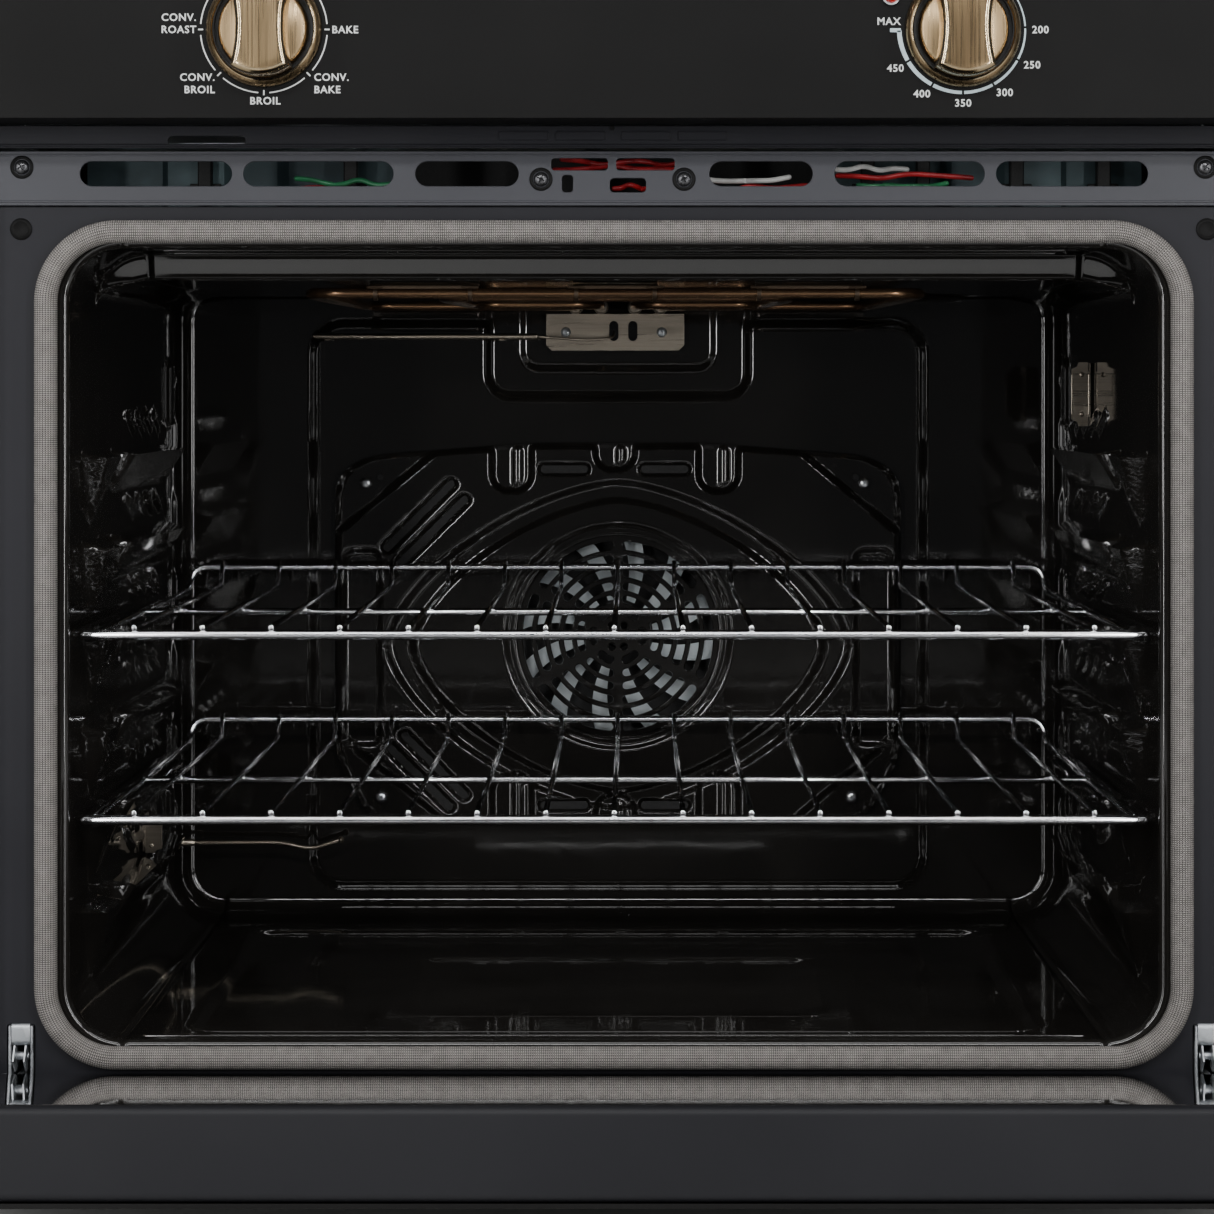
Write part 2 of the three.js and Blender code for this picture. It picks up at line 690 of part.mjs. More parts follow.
function elements() {
  const wall = FRONT + CAVITY.depth;
  const terminalBlock = block([-40, 40], [wall - 10, wall - 0.3], [BROIL_Z - 1.5, BROIL_Z + 8]);
  add(
    "broil_element",
    join(broilLoop(BROIL_OUTER), broilLoop(BROIL_INNER), terminalBlock),
    elementSheath,
  );

  const { half, bottom, top, x } = BROIL_PLATE;
  const chamfer = 4;
  const plate = polygon([
    [x - half, top],
    [x - half, bottom + chamfer],
    [x - half + chamfer, bottom],
    [x + half - chamfer, bottom],
    [x + half, bottom + chamfer],
    [x + half, top],
  ]);
  plate.holes.push(slot(-3, 497.5, 6.4, 14), slot(10.5, 497.5, 6.4, 14));
  add("broil_flange", frontSheet(plate, [wall - 3, wall - 1.5], 3), stainless);
  add("broil_hanger", broilHanger(), stainless);

  const bakeZ = CAVITY.floor - SHEET - 8;
  const right = [
    [BAKE.inner, BAKE.cross],
    [BAKE.inner, BAKE.front],
    [BAKE.outer, BAKE.front],
    [BAKE.outer, BAKE.back],
    [BAKE.tail, BAKE.back],
    [BAKE.tail, BAKE.end],
  ].map(([across, along]) => [across, FRONT + along, bakeZ]);
  const left = right.map(([across, y, z]) => [-across, y, z]).reverse();
  add("bake_element", rod([...left, ...right], ELEMENT_RADIUS, BAKE.bend), elementSheath);

  const { ringRadius } = FAN;
  const ringY = wall + 14;
  const steps = 22;
  const opening = 0.16; // radians left open at the top, for the two legs
  const ring = Array.from({ length: steps + 1 }, (_, i) => {
    const angle = Math.PI / 2 + opening + (i / steps) * 2 * (Math.PI - opening);
    return [ringRadius * Math.cos(angle), ringY, FAN.z + ringRadius * Math.sin(angle)];
  });
  const leg = (x) => [x, wall + FAN.cupDepth - 6, FAN.z + ringRadius];
  add(
    "convection_element",
    rod([leg(ring[0][0]), ...ring, leg(ring.at(-1)[0])], ELEMENT_RADIUS - 0.4, 0, 6),
    elementSheath,
  );
}

function convectionFan() {
  const wall = FRONT + CAVITY.depth;
  const { half, bottom, top } = BAFFLE;
  const face = wall - BAFFLE.proud;
  const right = [
    [half - 26, bottom],
    [half, bottom + 46],
    [half, top - 22],
    [half - 24, top - 10],
    [60, top],
  ];
  const outline = polygon([...right, ...right.map(([x, z]) => [-x, z]).reverse()]);
  const openings = [slot(-48, 404, 42, 6), slot(48, 404, 42, 6)];
  for (const [inner, outer, count] of GRILLE_RINGS) {
    for (let i = 0; i < count; i += 1) {
      const from = 0.3 + (i / count) * 2 * Math.PI;
      const width = (2 * Math.PI) / count - 10 / outer;
      const opening = new THREE.Shape();
      opening.absarc(0, FAN.z, outer, from, from + width, false);
      opening.absarc(0, FAN.z, inner, from + width, from, true);
      opening.closePath();
      openings.push(opening);
    }
  }
  const skin = cut(
    frontSheet(outline, [face, face + SHEET]),
    ...openings.map((opening) => frontSheet(opening, [face - 2, face + 4], 1)),
  );
  const feet = BAFFLE_FEET.map(([x, z]) => cylinder("y", [x, wall - 7.5, z], 7, 14.4, 10));
  add("fan_baffle", join(skin, ...feet), enamel);

  const blades = Array.from({ length: FAN.blades }, (_, i) => {
    const blade = new THREE.BoxGeometry(1.2, 20, 26).translate(0, 0, 58);
    return blade.rotateY((i / FAN.blades) * 2 * Math.PI).translate(0, wall + 12, FAN.z);
  });
  const wheel = join(
    cylinder("y", [0, wall + 22.5, FAN.z], FAN.wheelRadius, 1.6, 28),
    cylinder("y", [0, wall + 16, FAN.z], 11, 14, 16),
    cylinder("y", [0, wall + 34, FAN.z], 3.5, 30, 12),
    ...blades,
  );
  add("fan_wheel", wheel, zincSheet);

  const motorFront = wall + FAN.cupDepth + 6;
  const can = cylinder("y", [0, motorFront + MOTOR.length / 2, FAN.z], MOTOR.radius, MOTOR.length, 20);
  const bracket = block(
    [-MOTOR.bracket, MOTOR.bracket],
    [motorFront, motorFront + 2.5],
    [FAN.z - MOTOR.bracketHalfHeight, FAN.z + MOTOR.bracketHalfHeight],
  );
  const bore = cylinder("y", [0, motorFront, FAN.z], MOTOR.bore, 36, 12);
  add("fan_motor", cut(join(can, bracket), bore), zincSheet);
}

function sensors() {
  const wall = FRONT + CAVITY.depth;
  const bulbY = wall - 14;
  add(
    "thermostat_bulb",
    join(
      rod(
        [
          [-214, bulbY, 493.4],
          [-56, bulbY, 493.4],
        ],
        2.2,
      ),
      rod(
        [
          [-57, bulbY, 493.4],
          [-30, bulbY, 491],
          [-3, bulbY, 492.5],
          [-3, wall - 6, 496],
        ],
        1.1,
      ),
    ),
    stainless,
  );
  add(
    "temperature_probe",
    rod(
      [
        [-310.4, wall - 22, 137],
        [-236, wall - 22, 137],
        [-216, wall - 22, 132],
        [-195, wall - 22, 139],
      ],
      1.6,
      6,
    ),
    stainless,
  );
  // A strip on the side wall, with a tongue turned in to face the door.
  const wallClip = (side, upright) => {
    const face = CAVITY.half - GAP;
    const { from, to, reach } = WALL_CLIP;
    const strip = block(span(side, face - SHEET, face), depth(from, to), upright);
    const tongue = block(span(side, face - reach, face - 0.6), depth(from, from + SHEET), upright);
    return join(strip, tongue);
  };
  add("wall_clip_upper", wallClip(1, WALL_CLIP.upper), stainless);
  add("wall_clip_lower", wallClip(-1, WALL_CLIP.lower), stainless);

  const lampZ = CAVITY.ceiling - 1;
  add("lamp_lens", cylinder("z", [LAMP.x, FRONT + LAMP.depth, lampZ + 3], LAMP.radius, 6, 20), clearGlass);
  const cupBottom = CAVITY.ceiling + SHEET + GAP;
  const cup = cut(
    cylinder("z", [LAMP.x, FRONT + LAMP.depth, cupBottom + 18], LAMP.radius + 7, 36, 20),
    cylinder("z", [LAMP.x, FRONT + LAMP.depth, cupBottom + 15], LAMP.radius + 4, 36, 20),
  );
  add("lamp_housing", cup, zincSheet);
}

function insulation() {
  const { front, back: rear, half, bottom, top, corner } = INSULATION;
  const bore = INSULATION_BORE;
  const outer = () => roundedRectangle([-half, half], [bottom, top], corner);
  const ring = outer();
  ring.holes.push(roundedRectangle([-bore.half, bore.half], [bore.bottom, bore.top], bore.corner));
  const sleeve = frontSheet(ring, depth(front, rear), 4);
  const backPlate = outer();
  backPlate.holes.push(circle(0, FAN.z, FAN.cupRadius + 14));
  const back = frontSheet(backPlate, depth(CAVITY.depth + SHEET + 12, rear), 4);
  const lampWell = cylinder("z", [LAMP.x, FRONT + LAMP.depth, 550], LAMP.radius + 9, 40, 16);
  add("insulation", cut(join(sleeve, back), lampWell), mineralWool);
}

function coolingBlower() {
  const y = FRONT + BLOWER.depth;
  const shell = block(
    [-BLOWER.half - 8, BLOWER.half + 8],
    [y - 60, y + 46],
    [BLOWER.z - 42, BLOWER.z + 46],
  );
  const hollow = join(
    cylinder("x", [0, y, BLOWER.z], BLOWER.radius + 6, 2 * BLOWER.half + 8, 20),
    block([-BLOWER.half - 4, BLOWER.half + 4], [y - 62, y], [BLOWER.z - 38, BLOWER.z - 8]),
    block([-BLOWER.half - 4, BLOWER.half + 4], [y - 20, y + 20], [BLOWER.z + 10, BLOWER.z + 50]),
  );
  const shaftHole = cylinder("x", [BLOWER.half, y, BLOWER.z], 5, 60, 12);
  add("blower_housing", cut(shell, hollow, shaftHole), zincSheet);

  const discs = [-1, 0, 1].map((i) =>
    cylinder("x", [i * (BLOWER.half - 3), y, BLOWER.z], BLOWER.radius, 2, 18),
  );
  const vanes = Array.from({ length: BLOWER.vanes }, (_, i) =>
    new THREE.BoxGeometry(2 * BLOWER.half - 6, 1, 9)
      .translate(0, 0, BLOWER.radius - 5.5)
      .rotateX((i / BLOWER.vanes) * 2 * Math.PI)
      .translate(0, y, BLOWER.z),
  );
  const shaft = cylinder("x", [20, y, BLOWER.z], 3, 2 * BLOWER.half + 36, 10);
  add("blower_wheel", join(...discs, ...vanes, shaft), zincSheet);
}

function wiring() {
  const box = cut(
    block([CONDUIT.x - 50, CONDUIT.x + 50], depth(505, CHASSIS.depth - SHEET - GAP), [596, 660]),
    block([CONDUIT.x - 48, CONDUIT.x + 48], depth(507, CHASSIS.depth), [598, 662]),
  );
  add("terminal_box", box, zincSheet);
  const back = FRONT + CHASSIS.depth;
  const outerRing = cylinder("y", [CONDUIT.x, back + 1.8, CONDUIT.z], CONDUIT.radius + 5, 3, 24);
  const barrel = cylinder("y", [CONDUIT.x, back + 3, CONDUIT.z], CONDUIT.radius - 1.2, 22, 24);
  const bore = cylinder("y", [CONDUIT.x, back, CONDUIT.z], CONDUIT.radius - 3, 40, 20);
  add("conduit_gland", cut(join(outerRing, barrel), bore), zincSheet);
}

// ---------- door seal and hinges ----------
function doorSeal() {
  const { half, bottom, top, radius, corner } = GASKET;
  const bevel = 4;
  const grow = radius - bevel;
  const outline = (by) => roundedRectangle([-half - by, half + by], [bottom - by, top + by], corner + by);
  const ring = outline(grow);
  ring.holes.push(outline(-grow));
  const geometry = new THREE.ExtrudeGeometry(ring, {
    depth: 11.4 - 2 * bevel,
    bevelEnabled: true,
    bevelThickness: bevel,
    bevelSize: bevel,
    bevelSegments: 1,
    curveSegments: 4,
  });
  add("door_gasket", geometry.rotateX(Math.PI / 2).translate(0, FRONT - GAP - bevel, 0), glassFibre);
}

function hinges() {
  const pivotY = FRONT - DOOR.pivotProud;
  for (const [name, side] of sides) {
    const x = side * HINGE_X;
    const upright = [HINGE_SLOT.bottom + 0.5, HINGE_SLOT.top - 0.5];
    const outer = block([x - 7.4, x + 7.4], depth(-1.5, 50), upright);
    const channel = block([x - 5, x + 5], depth(-3, 48), [HINGE_SLOT.bottom + 4, 82]);
    add(`hinge_receiver_${name}`, cut(outer, channel), zincSheet);

    const arm = polygon([
      [pivotY + 7, DOOR.pivotZ - 6],
      [FRONT + 40, DOOR.pivotZ - 6],
      [FRONT + 40, DOOR.pivotZ + 12],
      [FRONT + 30, DOOR.pivotZ + 12],
      [FRONT + 28, DOOR.pivotZ + 5],
      [FRONT - 4, DOOR.pivotZ + 5],
      [pivotY + 7, DOOR.pivotZ + 4],
    ]);
    add(
      `hinge_arm_${name}`,
      join(
        sideSheet(arm, [x - 2.4, x + 2.4]),
        cylinder("x", [x, pivotY, DOOR.pivotZ], 8, 4.8, 16),
        cylinder("x", [x, pivotY, DOOR.pivotZ], 3.4, 19, 12),
      ),
      zincSheet,
    );
  }
}

// ---------- door, drawn closed about its pivot and then turned to the open stop ----------
function door() {
  const leaf = new THREE.Group();
  leaf.name = "door";
  leaf.position.set(0, FRONT - DOOR.pivotProud, DOOR.pivotZ);
  leaf.rotation.x = DOOR.openAngle;
  oven.add(leaf);

  const { half, top, bottom, innerFace } = DOOR;
  const outerFace = innerFace - DOOR.thickness;
  const panelBack = outerFace + 2;
  const glassBack = innerFace - 4;
  const capHeight = 14;
  const armSlots = sides.map(([, side]) =>
    block([side * HINGE_X - 5.5, side * HINGE_X + 5.5], [-10, innerFace + 1], [bottom - 1, 17]),
  );

  add(
    "door_inner_glass",
    cut(
      block([-half + 2, half - 2], [glassBack, innerFace], [bottom, top - capHeight - GAP]),
      ...armSlots,
    ),
    darkGlass,
    leaf,
  );

  const panel = roundedRectangle([-half, half], [bottom, top], 3);
  panel.holes.push(roundedRectangle([-215, 215], [150, 400], 14));
  add("door_outer_panel", frontSheet(panel, [outerFace, panelBack], 3), blackPaint, leaf);
  add(
    "door_window",
    block([-240, 240], [panelBack + GAP, panelBack + GAP + 4], [126, 424]),
    darkGlass,
    leaf,
  );

  add(
    "door_top_trim",
    cut(
      block([-half, half], [panelBack + GAP, innerFace], [top - capHeight, top]),
      block([-half - 1, half + 1], [panelBack + GAP + 2, innerFace - 2], [top - capHeight - 1, top - 2]),
    ),
    charcoalPaint,
    leaf,
  );
  const channel = cut(
    block([-half + 4, half - 4], [panelBack + GAP, glassBack - GAP], [bottom, 8]),
    block([-half + 6, half - 6], [panelBack + 2, glassBack - 2], [bottom + 2, 9]),
    ...armSlots,
  );
  const ears = [-1, 1].flatMap((side) =>
    [-7.4, 7.4].map((x) => {
      const ear = block(
        [side * HINGE_X + x - 1, side * HINGE_X + x + 1],
        [panelBack + 1, glassBack - 1],
        [bottom + 1, 8],
      );
      return cut(ear, cylinder("x", [side * HINGE_X + x, 0, 0], 3.7, 6, 12));
    }),
  );
  add("door_bottom_trim", join(channel, ...ears), charcoalPaint, leaf);

  for (const [name, side] of sides) {
    const profile = cut(
      block(span(side, 322, 350), [panelBack + GAP, glassBack - GAP], [9, top - capHeight - GAP]),
      block(span(side, 321, 348), [panelBack + GAP + 2, glassBack - GAP - 2], [8, top]),
      ...armSlots,
    );
    add(`door_rail_${name}`, profile, zincSheet, leaf);
  }

  const barY = outerFace - 42;
  const barZ = top - 62;
  const postMiddle = (outerFace + barY) / 2 - 0.2;
  const posts = [-270, 270].map((x) =>
    cylinder("y", [x, postMiddle, barZ], 8, outerFace - barY - 0.4, 16),
  );
  add("door_handle", join(cylinder("x", [0, barY, barZ], 10, 640, 20), ...posts), bronze, leaf);
}

chassis();
frontFrame();
ventilationStrip();
controls();
cavity();
racks();
elements();
convectionFan();
sensors();
insulation();
coolingBlower();
wiring();
doorSeal();
hinges();
door();

export default oven;
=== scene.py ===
"""A built-in wall oven with its door open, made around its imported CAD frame.

Blender works in metres, +Z up, and the front of the oven faces -Y. Shapes here are drawn in millimetres
and turned into metres when their mesh is made, so that every size reads as on a drawing.
"""
import json
import math
import random

import bmesh
import bpy
import numpy as np
from mathutils import Matrix, Vector


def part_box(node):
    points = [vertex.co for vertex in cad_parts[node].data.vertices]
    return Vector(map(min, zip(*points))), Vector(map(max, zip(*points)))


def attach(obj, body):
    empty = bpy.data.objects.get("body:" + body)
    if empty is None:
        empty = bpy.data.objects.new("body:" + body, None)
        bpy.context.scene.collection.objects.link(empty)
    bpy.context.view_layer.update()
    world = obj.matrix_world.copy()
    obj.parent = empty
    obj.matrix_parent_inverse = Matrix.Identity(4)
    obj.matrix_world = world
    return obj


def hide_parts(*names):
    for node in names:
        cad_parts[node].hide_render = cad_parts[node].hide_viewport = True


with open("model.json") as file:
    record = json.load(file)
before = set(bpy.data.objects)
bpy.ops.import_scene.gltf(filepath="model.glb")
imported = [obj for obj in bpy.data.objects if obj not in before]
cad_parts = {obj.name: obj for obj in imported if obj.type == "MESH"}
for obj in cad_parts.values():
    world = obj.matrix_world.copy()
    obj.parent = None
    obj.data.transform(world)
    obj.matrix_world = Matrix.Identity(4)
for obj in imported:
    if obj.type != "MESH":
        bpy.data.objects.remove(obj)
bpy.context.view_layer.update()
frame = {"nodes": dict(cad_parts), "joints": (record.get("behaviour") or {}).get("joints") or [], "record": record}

MM = 0.001


def low(node):
    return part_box(node)[0] / MM


def high(node):
    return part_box(node)[1] / MM


def joint(name):
    return next(j for j in frame["joints"] if j["name"] == name)


# ---------- driving places, from the frame ----------
SHEET = 1.2  # sheet steel thickness
FRONT = low("front_frame").y  # outer face of the front frame
BACK = low("cavity_back").y  # inner face of the cavity's back wall
HALF = high("cavity_right_wall").x - SHEET  # half the cavity's width
FLOOR = low("cavity_floor").z + SHEET
CEILING = high("cavity_ceiling").z - SHEET
CORNER = 32  # radius of the cavity's long corners
DEPTH = BACK - FRONT
FASCIA_FACE = low("control_fascia").y
RACK_NODES = ("upper_rack", "lower_rack")
RACK_PITCH = 53.3
RACK_POSITIONS = 6
LOWEST_RACK = (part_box("lower_rack")[0].z / MM + 3) - RACK_PITCH  # front rail centre, lowest position
KNOB_X = {"function": (low("function_bezel").x + high("function_bezel").x) / 2,
          "temperature": (low("temperature_bezel").x + high("temperature_bezel").x) / 2}
KNOB_Z = (low("function_bezel").z + high("function_bezel").z) / 2
FAN_Z = (low("fan_wheel").z + high("fan_wheel").z) / 2
HINGE_X = (low("hinge_arm_right").x + high("hinge_arm_right").x) / 2
HINGE = joint("door_hinge")


# ---------- materials ----------
class Finish:
    """A Principled material whose nodes are added by short calls. Texture coordinates are in metres."""

    def __init__(self, name, **sockets):
        self.material = bpy.data.materials.new(name)
        self.material.use_nodes = True
        self.tree = self.material.node_tree
        self.shader = self.tree.nodes["Principled BSDF"]
        for key, value in sockets.items():
            self.shader.inputs[key.replace("_", " ")].default_value = value

    def node(self, kind, inputs=(), **settings):
        made = self.tree.nodes.new("ShaderNode" + kind)
        for key, value in settings.items():
            setattr(made, key, value)
        for key, value in dict(inputs).items():
            if isinstance(value, bpy.types.NodeSocket):
                self.tree.links.new(value, made.inputs[key])
            else:
                made.inputs[key].default_value = value
        return made

    def into(self, socket, value):
        self.tree.links.new(value, self.shader.inputs[socket])

    def places(self, stretch=(1, 1, 1)):
        coordinates = self.node("TexCoord").outputs["Object"]
        return self.node("Mapping", {"Vector": coordinates, "Scale": stretch}).outputs["Vector"]

    def noise(self, scale, stretch=(1, 1, 1), detail=4.0):
        inputs = {"Vector": self.places(stretch), "Scale": scale, "Detail": detail}
        return self.node("TexNoise", inputs).outputs["Fac"]

    def between(self, factor, first, second, start=0.35, end=0.65):
        ramp = self.node("ValToRGB", {"Fac": factor})
        ramp.color_ramp.elements[0].position = start
        ramp.color_ramp.elements[1].position = end
        ramp.color_ramp.elements[0].color = (*first, 1)
        ramp.color_ramp.elements[1].color = (*second, 1)
        return ramp.outputs["Color"]

    def level(self, factor, lowest, highest):
        inputs = {"Value": factor, "From Min": 0.3, "From Max": 0.7, "To Min": lowest, "To Max": highest}
        return self.node("MapRange", inputs).outputs["Result"]

    def math(self, operation, first, second=0.0):
        made = self.node("Math", {0: first, 1: second}, operation=operation)
        return made.outputs["Value"]

    def bump(self, height, distance, strength=1.0):
        inputs = {"Height": height, "Distance": distance, "Strength": strength}
        self.into("Normal", self.node("Bump", inputs).outputs["Normal"])


def mottled(name, first, second, roughness, spread, patch, grain, depth, stretch=(1, 1, 1), **sockets):
    """Colour drifting between two tones in patches, with a fine grain in roughness and relief."""
    made = Finish(name, **sockets)
    fine = made.noise(grain, stretch, 3.0)
    made.into("Base Color", made.between(made.noise(patch, stretch), first, second))
    made.into("Roughness", made.level(fine, roughness - spread, roughness + spread))
    made.bump(fine, depth)
    return made.material


def galvanised(name, first, second, roughness):
    """Zinc spangle: crystals of differing tone and gloss under a faint rolled grain."""
    made = Finish(name, Metallic=0.85)
    crystals = made.node("TexVoronoi", {"Vector": made.places(), "Scale": 130.0}).outputs["Color"]
    tone = made.node("SeparateColor", {"Color": crystals}).outputs["Red"]
    clouds = made.noise(9.0)
    mixed = made.math("ADD", made.math("MULTIPLY", tone, 0.5), made.math("MULTIPLY", clouds, 0.5))
    made.into("Base Color", made.between(mixed, first, second, 0.2, 0.8))
    made.into("Roughness", made.level(mixed, roughness - 0.08, roughness + 0.12))
    made.bump(made.noise(900.0, (1, 1, 0.1)), 0.00001)
    return made.material


def brushed(name, first, second, roughness, stretch, scale=900.0, **sockets):
    """Metal with fine parallel scratches; stretch is small along the scratches."""
    made = Finish(name, Metallic=1.0, **sockets)
    lines = made.noise(scale, stretch, 2.0)
    broad = made.noise(scale / 12, stretch, 3.0)
    mixed = made.math("ADD", made.math("MULTIPLY", lines, 0.5), made.math("MULTIPLY", broad, 0.5))
    made.into("Base Color", made.between(mixed, first, second, 0.32, 0.68))
    made.into("Roughness", made.level(lines, roughness - 0.06, roughness + 0.08))
    made.bump(lines, 0.00003)
    return made.material


def black_enamel():
    """Porcelain enamel: deep black and glossy, with the slow waviness of a fired coat."""
    made = Finish("enamel", Specular_IOR_Level=0.85)
    made.into("Base Color", made.between(made.noise(14.0), (0.0095, 0.0085, 0.0074), (0.0135, 0.0122, 0.0108)))
    made.into("Roughness", made.level(made.noise(60.0), 0.04, 0.08))
    made.bump(made.noise(45.0, detail=2.0), 0.00005)
    return made.material


KNIT_COLUMNS = 26  # wales round the gasket tube
KNIT_STITCH = 0.0012  # metres of tube to a stitch


def knitted_fibre():
    """Glass-fibre knit: columns of V-shaped stitches. The UV map runs metres along and turns round the tube."""
    made = Finish("glass_fibre")
    place = made.node("SeparateXYZ", {"Vector": made.node("TexCoord").outputs["UV"]})
    along = made.math("DIVIDE", place.outputs["X"], KNIT_STITCH)
    column = made.math("FRACT", made.math("MULTIPLY", place.outputs["Y"], KNIT_COLUMNS))
    off_centre = made.math("ABSOLUTE", made.math("SUBTRACT", column, 0.5))
    slanted = made.math("ADD", along, made.math("MULTIPLY", off_centre, 1.1))
    step = made.math("ABSOLUTE", made.math("SUBTRACT", made.math("FRACT", slanted), 0.5))
    yarn = made.math("MULTIPLY", made.math("SUBTRACT", 0.5, step), 2.0)
    groove = made.math("SUBTRACT", 1.0, made.math("POWER", made.math("MULTIPLY", off_centre, 2.0), 3.0))
    height = made.math("MULTIPLY", yarn, groove)
    # Painted shade: the colour is darkest where the yarn lies low, in the crevices between stitches; noise adds random
    # tone.
    crevice_shade_and_tone = made.math("ADD", height, made.math("MULTIPLY", made.noise(160.0), 0.35))
    made.into("Base Color", made.between(crevice_shade_and_tone, (0.04, 0.037, 0.034), (0.44, 0.41, 0.385), 0.28, 0.85))
    made.into("Roughness", made.level(made.noise(700.0), 0.7, 0.9))
    made.bump(height, 0.0005)
    return made.material


def tinted_glass(name, tone, roughness):
    made = Finish(name, Specular_IOR_Level=0.7, Coat_Weight=0.5, Coat_Roughness=0.02)
    made.into("Base Color", made.between(made.noise(20.0), tone, tuple(0.6 * t for t in tone)))
    made.into("Roughness", made.level(made.noise(90.0), roughness, roughness + 0.02))
    return made.material


def clear_glass():
    made = Finish("clear_glass", Transmission_Weight=1.0, IOR=1.5)
    made.into("Base Color", made.between(made.noise(60.0), (0.9, 0.93, 0.93), (0.82, 0.87, 0.88)))
    made.into("Roughness", made.level(made.noise(120.0), 0.03, 0.09))
    return made.material


def make_finishes():
    along_z = (1, 1, 0.02)
    along_x = (0.02, 1, 1)
    return {
        "zinc": galvanised("zinc", (0.40, 0.42, 0.44), (0.56, 0.58, 0.60), 0.36),
        "charcoal_paint": mottled("charcoal_paint", (0.020, 0.020, 0.024), (0.016, 0.016, 0.0195),
                                  0.44, 0.05, 7.0, 2600.0, 0.00001, Specular_IOR_Level=0.17),
        # The next finish is a lighter copy of the charcoal paint: painted light on the ventilation strip, which has the
        # same paint as the front frame.
        "strip_charcoal": mottled("strip_charcoal", (0.052, 0.053, 0.062), (0.044, 0.045, 0.053),
                                  0.44, 0.05, 7.0, 2600.0, 0.00001, Specular_IOR_Level=0.35),
        # The next finish is a darker copy of the charcoal paint: painted shade on the door's top trim.
        "trim_charcoal": mottled("trim_charcoal", (0.0145, 0.0145, 0.0165), (0.0115, 0.0115, 0.0135),
                                 0.42, 0.05, 7.0, 2600.0, 0.00001, Specular_IOR_Level=0.18),
        "black_paint": mottled("black_paint", (0.0085, 0.0083, 0.0082), (0.0065, 0.0064, 0.0063),
                               0.46, 0.05, 9.0, 3000.0, 0.000012, Specular_IOR_Level=0.1),
        "enamel": black_enamel(),
        "stainless": brushed("stainless", (0.50, 0.44, 0.36), (0.30, 0.26, 0.21), 0.32, along_x, 700.0),
        "chrome": mottled("chrome", (0.82, 0.83, 0.84), (0.68, 0.69, 0.71), 0.15, 0.03, 50.0, 60.0,
                          0.000001, Metallic=1.0),
        "antique_bronze": brushed("antique_bronze", (0.47, 0.34, 0.19), (0.27, 0.185, 0.10), 0.28, along_z),
        "bronze_edge": mottled("bronze_edge", (0.72, 0.58, 0.38), (0.48, 0.36, 0.21), 0.16, 0.05, 60.0, 900.0,
                               0.000005, Metallic=1.0),
        "element_sheath": mottled("element_sheath", (0.24, 0.145, 0.08), (0.17, 0.10, 0.058), 0.22, 0.04,
                                  26.0, 1200.0, 0.000004, Metallic=0.9),
        "glass_fibre": knitted_fibre(),
        "mineral_wool": mottled("mineral_wool", (0.50, 0.43, 0.27), (0.30, 0.25, 0.15), 0.95, 0.04, 60.0,
                                500.0, 0.0015, Sheen_Weight=0.3),
        "dark_glass": tinted_glass("dark_glass", (0.0035, 0.0035, 0.004), 0.015),
        "clear_glass": clear_glass(),
        "red_lens": mottled("red_lens", (0.55, 0.012, 0.01), (0.34, 0.006, 0.006), 0.1, 0.03, 300.0, 900.0,
                            0.000005, Coat_Weight=0.8),
        "white_plastic": mottled("white_plastic", (0.60, 0.58, 0.53), (0.48, 0.46, 0.41), 0.5, 0.08, 40.0,
                                 1500.0, 0.00002),
        "print": mottled("print", (0.78, 0.79, 0.78), (0.66, 0.67, 0.67), 0.5, 0.06, 200.0, 3000.0, 0.000002),
        "scale_print": mottled("scale_print", (0.55, 0.66, 0.70), (0.47, 0.58, 0.62), 0.45, 0.06, 200.0,
                               3000.0, 0.000002),
        "red_wire": mottled("red_wire", (0.42, 0.015, 0.02), (0.28, 0.01, 0.015), 0.4, 0.08, 80.0, 900.0, 0.00001),
        "green_wire": mottled("green_wire", (0.015, 0.16, 0.06), (0.01, 0.10, 0.04), 0.4, 0.08, 80.0, 900.0,
                              0.00001),
        "white_wire": mottled("white_wire", (0.62, 0.62, 0.6), (0.45, 0.45, 0.44), 0.45, 0.08, 80.0, 900.0,
                              0.00001),
        "steel_blue": mottled("steel_blue", (0.075, 0.115, 0.125), (0.035, 0.055, 0.062), 0.5, 0.06, 30.0, 900.0,
                              0.00001, Metallic=0.2),
        "fan_steel": mottled("fan_steel", (0.86, 0.92, 0.94), (0.70, 0.77, 0.80), 0.4, 0.08, 40.0, 1200.0,
                             0.00002, Metallic=0.1),
        "dark_steel": mottled("dark_steel", (0.13, 0.13, 0.135), (0.075, 0.075, 0.08), 0.3, 0.08, 300.0, 2000.0,
                              0.00001, Metallic=0.9),
        "heat_stained": brushed("heat_stained", (0.17, 0.125, 0.09), (0.085, 0.06, 0.042), 0.4, along_x, 700.0),
        # The next finish, deep black, is painted shade in the baffle's slots and holes, on the fan's disc, behind the
        # ventilation slots and in the knob bezels' grooves; it also colours the door glass screws.
        "deep_black": mottled("deep_black", (0.006, 0.006, 0.006), (0.003, 0.003, 0.003), 0.6, 0.1, 40.0,
                              900.0, 0.00001),
        "studio_floor": mottled("studio_floor", (0.60, 0.60, 0.59), (0.54, 0.54, 0.535), 0.7, 0.05, 2.0, 90.0,
                                0.0001),
    }


FINISH = make_finishes()


# ---------- shape helpers ----------
def frontal(u, v, w):
    """A point drawn on the front (u across, v up) and w deep."""
    return (u, w, v)


def sideways(u, v, w):
    """A point drawn from the side (u deep, v up) and w across."""
    return (w, u, v)


def level(u, v, w):
    return (u, v, w)


